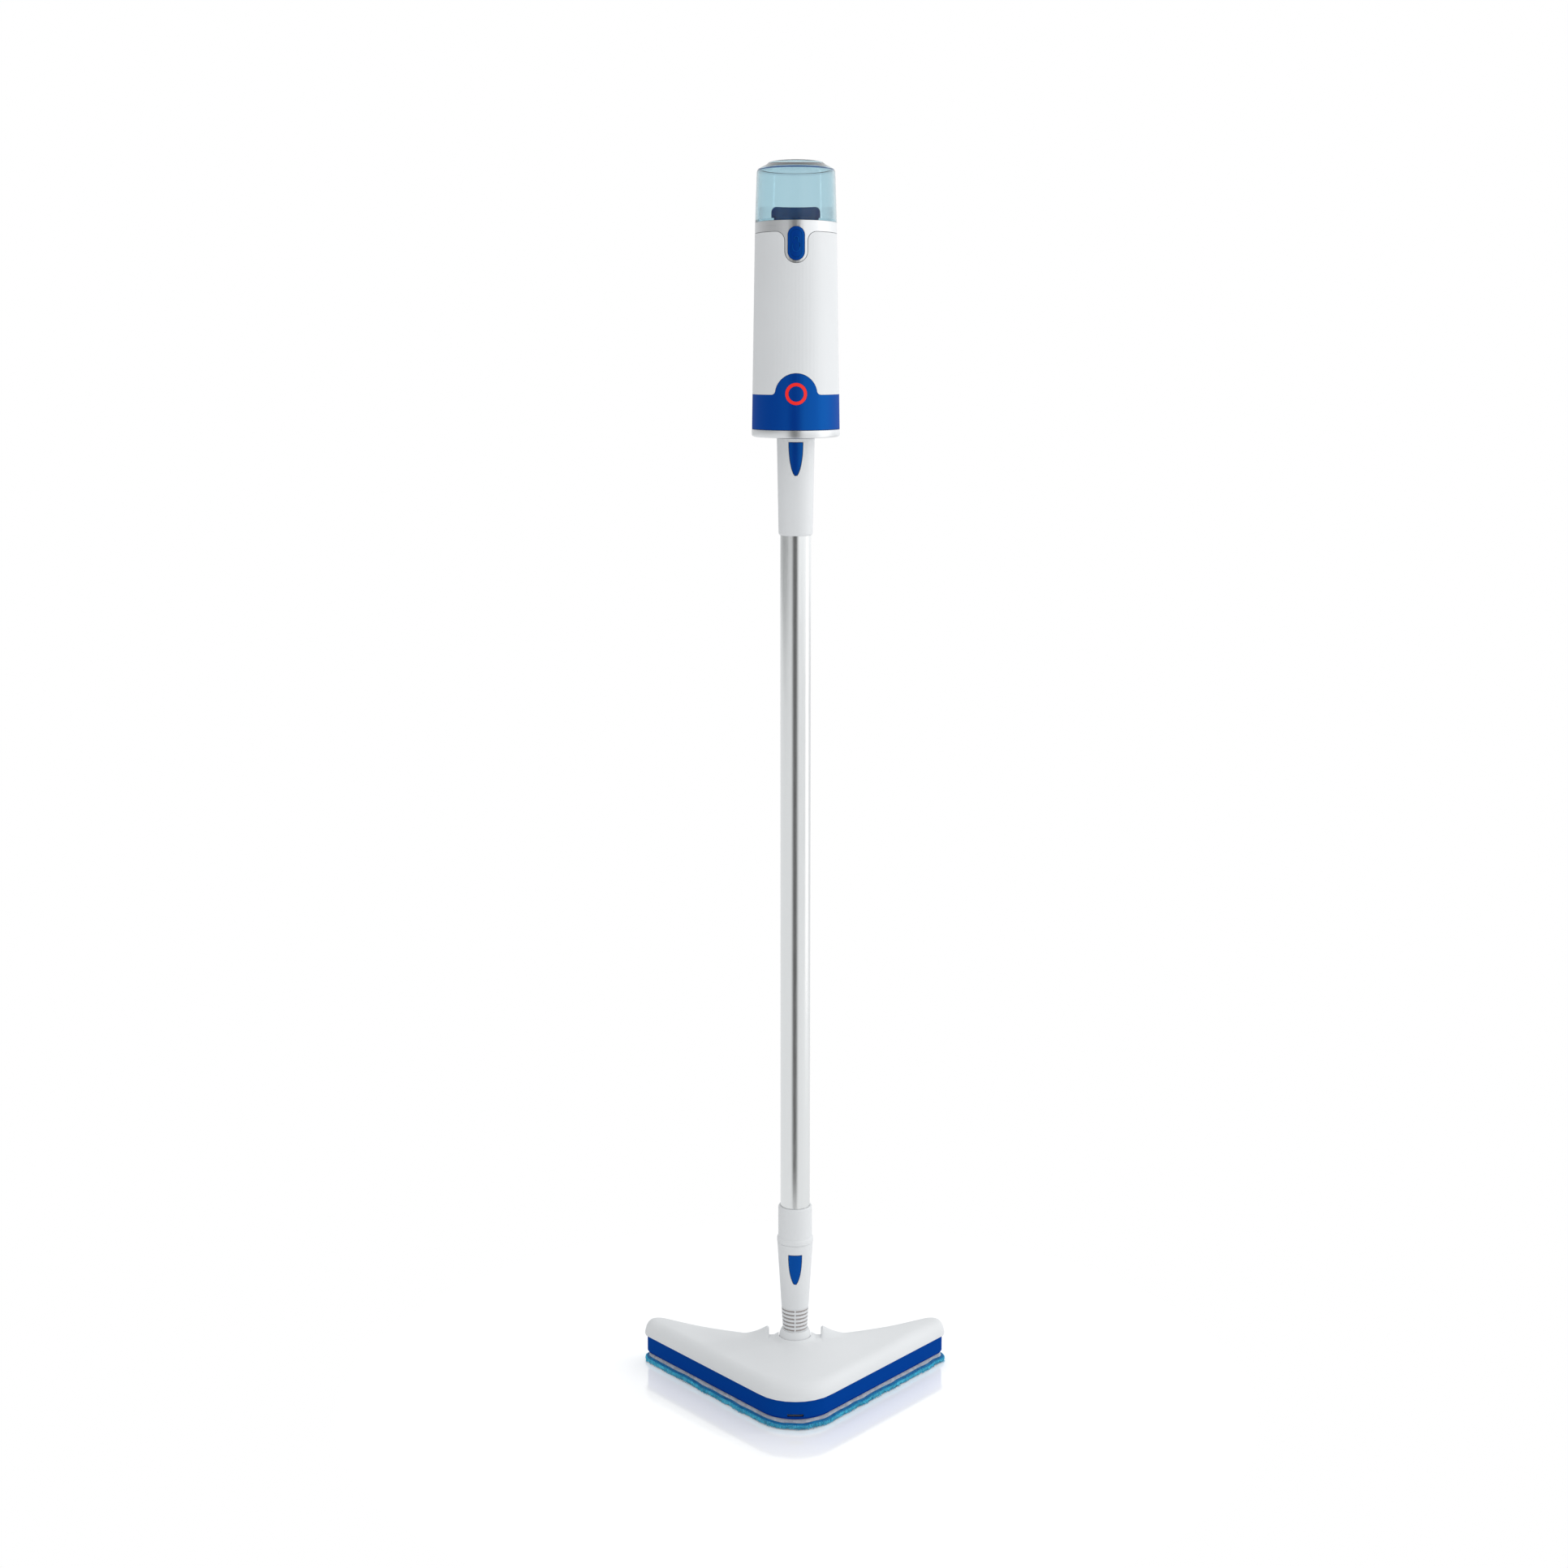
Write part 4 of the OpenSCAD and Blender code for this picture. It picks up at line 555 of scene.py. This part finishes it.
def make_nubs():
    """Low domes of chenille under the pad, in staggered rows."""
    path = HEAD.points(8 * MM, 6 * MM)
    verts, faces = [], []
    pitch, sides = 4.6 * MM, 6
    rows, half_columns = 46, 37
    tip = 0.12 * MM
    for row in range(rows):
        y = -HEAD_FRONT + row * pitch * 0.9
        for column in range(-half_columns, half_columns + 1):
            x = (column + 0.5 * (row % 2)) * pitch
            if not inside(path, x, y):
                continue
            r = pitch * rng.uniform(0.42, 0.5)
            cx, cy = x + rng.uniform(-0.3, 0.3) * MM, y + rng.uniform(-0.3, 0.3) * MM
            start = len(verts)
            for z, k in ((1.3, 1.0), (0.55, 0.85)):
                for i in range(sides):
                    a = 2 * math.pi * i / sides
                    verts.append((cx + r * k * math.cos(a), cy + r * k * math.sin(a), z * MM))
            verts.append((cx, cy, tip))
            for i in range(sides):
                j = (i + 1) % sides
                faces.append((start + j, start + i, start + sides + i, start + sides + j))
                faces.append((start + sides + j, start + sides + i, start + 2 * sides))
    padded_piece("pile_nubs", "terry", verts, faces)


def make_tape():
    """The woven tape that binds the edge of the pad."""
    section = ((-3.2, 6.7), (-0.4, 6.6), (1.0, 5.9), (1.9, 4.6),
               (2.1, 3.0), (1.7, 1.5), (0.6, 0.9), (-3.2, 1.0))
    verts, faces = sweep(EDGE_PATH, section)
    padded_piece("binding_tape", "tape", verts, [tuple(reversed(f)) for f in faces])


def strand(verts, faces, points, radius):
    """A thread of four sides along a list of points."""
    start = len(verts)
    for i, point in enumerate(points):
        ahead = points[min(i + 1, len(points) - 1)] - points[max(i - 1, 0)]
        side = ahead.cross(Vector((0, 0, 1)) + ahead.orthogonal() * 0.01).normalized()
        other = side.cross(ahead.normalized())
        thin = radius * (0.6 if i in (0, len(points) - 1) else 1.0)
        verts.extend((point + side * thin, point + other * thin,
                      point - side * thin, point - other * thin))
    for i in range(len(points) - 1):
        for k in range(4):
            m = (k + 1) % 4
            low = start + i * 4
            faces.append((low + k, low + m, low + 4 + m, low + 4 + k))
    faces.append((start + 3, start + 2, start + 1, start))
    last = start + 4 * (len(points) - 1)
    faces.append((last, last + 1, last + 2, last + 3))


def make_stitches():
    """Overlocked yarn over the lower half of the tape, with loose ends here and there."""
    verts, faces = [], []
    profile = ((1.35, 5.5), (2.15, 4.7), (2.55, 3.2), (2.2, 1.6), (1.3, 0.75))
    for p, n in outline_frame(HEAD.points(PAD_INSET, 0.92 * MM)):
        out, up = edge_out(p), edge_up(p)
        normal, along = Vector((n.x, n.y, 0)), Vector((-n.y, n.x, 0))
        lean, swell = rng.uniform(-0.7, 0.7), rng.uniform(-0.15, 0.3)
        points = []
        for i, (a, b) in enumerate(profile):
            spot = Vector((p.x, p.y, 0)) + normal * ((a + swell) * MM + out)
            spot += along * (lean * MM * (i / 4 - 0.5) + rng.uniform(-0.12, 0.12) * MM)
            points.append(Vector((spot.x, spot.y, max(b * MM + up, 0.6 * MM))))
        loose = 0.5 + 0.5 * waviness(p, 21.0)
        if rng.random() < 0.55 * loose:
            reach = rng.uniform(0.6, 2.6) * loose
            tip = points[-2] + normal * reach * MM + along * rng.uniform(-0.8, 0.8) * MM
            points = points[:-1] + [Vector((tip.x, tip.y, 0.75 * MM))]
        strand(verts, faces, points, 0.43 * MM * rng.uniform(0.8, 1.15))
    padded_piece("overlock_yarn", "terry", verts, faces)


def make_felt():
    """The grey hook-and-loop layer: it lies under the sole and slopes out to the bound edge."""
    path = HEAD.points(PAD_INSET, 1.6 * MM)
    rings = []
    top = FELT_HIGH / MM
    for z, inset, wave in ((5.6, 1.6, 1.0), (6.9, 1.3, 1.0), (7.8, 1.6, 0.8),
                           (8.8, 2.4, 0.5), (top, 3.6, 0.2)):
        ring = []
        for p, n in outline_frame(path):
            fray = 0.3 * MM * noise.noise(Vector((p.x * 700, p.y * 700, z)))
            shift = inset * MM + fray - edge_out(p) * wave
            lift = edge_up(p) if z < 7 else 0
            ring.append((p.x - n.x * shift, p.y - n.y * shift, z * MM + lift))
        rings.append(ring)
    verts, faces = stack(rings)
    padded_piece("felt_layer", "felt", verts, faces, replaces=("pad_felt",))


def make_padlock():
    """A raised padlock outline on the tank lock's button, as such buttons carry."""
    low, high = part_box("lock_button")
    tall = high[2] - low[2]
    mid = (low[2] + high[2]) / 2

    def at(x, z):
        return Vector((x * tall, low[1] + 0.1 * MM, mid + z * tall))

    body = [at(-0.1, 0.0)]
    body += [at(0.1 * math.cos(a), -0.13 + 0.1 * math.sin(a)) for a in
             (math.radians(180 + 15 * i) for i in range(13))]
    body += [at(0.1, 0.02), at(0.055, 0.05), at(0.055, 0.12)]
    body += [at(0.055 * math.cos(a), 0.13 + 0.055 * math.sin(a)) for a in
             (math.radians(18 * i) for i in range(11))]
    body += [at(-0.055, 0.09)]
    verts, faces = [], []
    wire = 0.35 * MM
    strand(verts, faces, body, wire)
    strand(verts, faces, [at(0, -0.02), at(0, -0.12)], wire)
    new_piece("padlock_relief", "lock", "blue_relief", verts, faces)


make_padlock()
make_pad()
make_nubs()
make_tape()
make_stitches()
make_felt()


# ---------------------------------------------------------------- studio
def glow(tree, strength):
    """White light of the given strength."""
    return put(tree, "Emission", {"Color": rgb(1, 1, 1), "Strength": strength}).outputs[0]


def make_world():
    """White to the camera; the object gets soft light from above, and more right than left."""
    world = bpy.data.worlds.new("studio")
    bpy.context.scene.world = world
    world.use_nodes = True
    tree = world.node_tree
    tree.nodes.clear()
    axes = put(tree, "SeparateXYZ", {0: put(tree, "TexCoord").outputs["Generated"]}).outputs
    sides = ranged(tree, axes["X"], LEFT_LEVEL, RIGHT_LEVEL, -1, 0.5)
    above = ranged(tree, axes["Z"], 0, 1, 0.4, 0.8)
    short = put(tree, "Math", {0: TOP_LEVEL, 1: sides}, operation="SUBTRACT").outputs[0]
    level = put(tree, "Math", {0: above, 1: short, 2: sides}, operation="MULTIPLY_ADD").outputs[0]
    path = put(tree, "LightPath").outputs
    seen = put(tree, "Math", {0: path["Is Camera Ray"], 1: path["Is Transmission Ray"]},
               operation="MAXIMUM")
    lit = put(tree, "Background", {"Color": rgb(0.975, 0.99, 1.0), "Strength": level}).outputs[0]
    white = put(tree, "Background", {"Color": rgb(1, 1, 1), "Strength": 1.0}).outputs[0]
    both = put(tree, "MixShader", {0: seen.outputs[0], 1: lit, 2: white}).outputs[0]
    put(tree, "OutputWorld", {"Surface": both})


def plane(name, size, location, rotation=(0, 0, 0)):
    """A rectangle that belongs to the studio."""
    w, h = size[0] / 2, size[1] / 2
    mesh = bpy.data.meshes.new(name)
    mesh.from_pydata([(-w, -h, 0), (w, -h, 0), (w, h, 0), (-w, h, 0)], [], [(0, 1, 2, 3)])
    obj = bpy.data.objects.new(name, mesh)
    obj.location = location
    obj.rotation_euler = rotation
    bpy.context.scene.collection.objects.link(obj)
    return obj


def floor_material():
    """A glossy white floor: it mirrors the head faintly, and far off it turns plain white."""
    mat, tree = blank_material("floor")
    reach = put(tree, "VectorMath", {0: object_coords(tree)}, operation="LENGTH").outputs["Value"]
    near = ranged(tree, reach, 1, 0, 0.14, 0.30)
    matt = put(tree, "BsdfDiffuse", {"Color": rgb(0.95, 0.95, 0.95)}).outputs[0]
    mirror = put(tree, "BsdfGlossy", {"Color": rgb(1, 1, 1), "Roughness": 0.10}).outputs[0]
    share = put(tree, "Math", {0: near, 1: 0.30}, operation="MULTIPLY").outputs[0]
    polished = put(tree, "MixShader", {0: share, 1: matt, 2: mirror}).outputs[0]
    seen = put(tree, "LightPath").outputs["Is Camera Ray"]
    lift = put(tree, "Math", {0: seen, 1: FLOOR_LIFT}, operation="MULTIPLY").outputs[0]
    lifted = put(tree, "AddShader", {0: polished, 1: glow(tree, lift)}).outputs[0]
    far_off = ranged(tree, reach, 0, 1, 0.22, 0.5)
    bright = put(tree, "Math", {0: far_off, 1: seen}, operation="MULTIPLY").outputs[0]
    final = put(tree, "MixShader", {0: bright, 1: lifted, 2: glow(tree, 1.0)})
    finish_material(tree, final.outputs[0])
    return mat


def card_material(name, strength, full, gone):
    """A soft-edged card: its whole strength out to full, nothing beyond gone."""
    mat, tree = blank_material(name)
    axes = put(tree, "SeparateXYZ", {0: object_coords(tree)}).outputs
    reach = put(tree, "Math", {0: axes["X"]}, operation="ABSOLUTE").outputs[0]
    share = put(tree, "MapRange", {"Value": reach, "From Min": full, "From Max": gone,
                                   "To Min": 1.0, "To Max": 0.0}, interpolation_type="SMOOTHSTEP")
    clear = put(tree, "BsdfTransparent").outputs[0]
    finish_material(tree, put(tree, "MixShader", {0: share.outputs["Result"], 1: clear,
                                                  2: glow(tree, strength)}).outputs[0])
    return mat


def reflected_card(name, size, location, rotation, look):
    """A card that only shiny surfaces see."""
    card = plane(name, size, location, rotation)
    card.data.materials.append(look)
    for sight in ("camera", "diffuse", "transmission", "volume_scatter", "shadow"):
        setattr(card, "visible_" + sight, False)


def area_light(name, energy, size, location, target):
    """A rectangular lamp aimed at a point."""
    data = bpy.data.lights.new(name, "AREA")
    data.shape = "RECTANGLE"
    data.size, data.size_y = size
    data.energy = energy
    lamp = bpy.data.objects.new(name, data)
    lamp.location = location
    aim = Vector(target) - Vector(location)
    lamp.rotation_euler = aim.to_track_quat("-Z", "Y").to_euler()
    bpy.context.scene.collection.objects.link(lamp)


# Brightness of the studio's light on the object: from the left, from above and from the right.
LEFT_LEVEL = 0.40
TOP_LEVEL = 0.94
RIGHT_LEVEL = 1.13
# Light that the floor adds for the camera alone.
FLOOR_LIFT = 0.22
UPRIGHT = math.pi / 2
LIGHT_BOUNCES = 24


def make_studio():
    """World, floor, two cards for the gloss and one lamp."""
    make_world()
    floor = plane("floor", (14, 14), (0, 0, 0))
    floor.data.materials.append(floor_material())
    reflected_card("dark_flag", (0.8, 3.2), (-0.05, -0.6, 1.6), (UPRIGHT, 0, 0),
                   card_material("dark_flag", 0.13, 0.05, 0.36))
    reflected_card("bright_panel", (1.4, 2.6), (1.6, 0.3, 1.3), (UPRIGHT, 0, -UPRIGHT),
                   card_material("bright_panel", 1.2, 0.45, 0.68))
    area_light("strip_right", 7, (0.2, 2.4), (2.1, 0.3, 1.2), (0, 0, 0.9))
    scene = bpy.context.scene
    scene.view_settings.view_transform = "Standard"
    scene.cycles.max_bounces = LIGHT_BOUNCES
    scene.cycles.transmission_bounces = LIGHT_BOUNCES


make_studio()
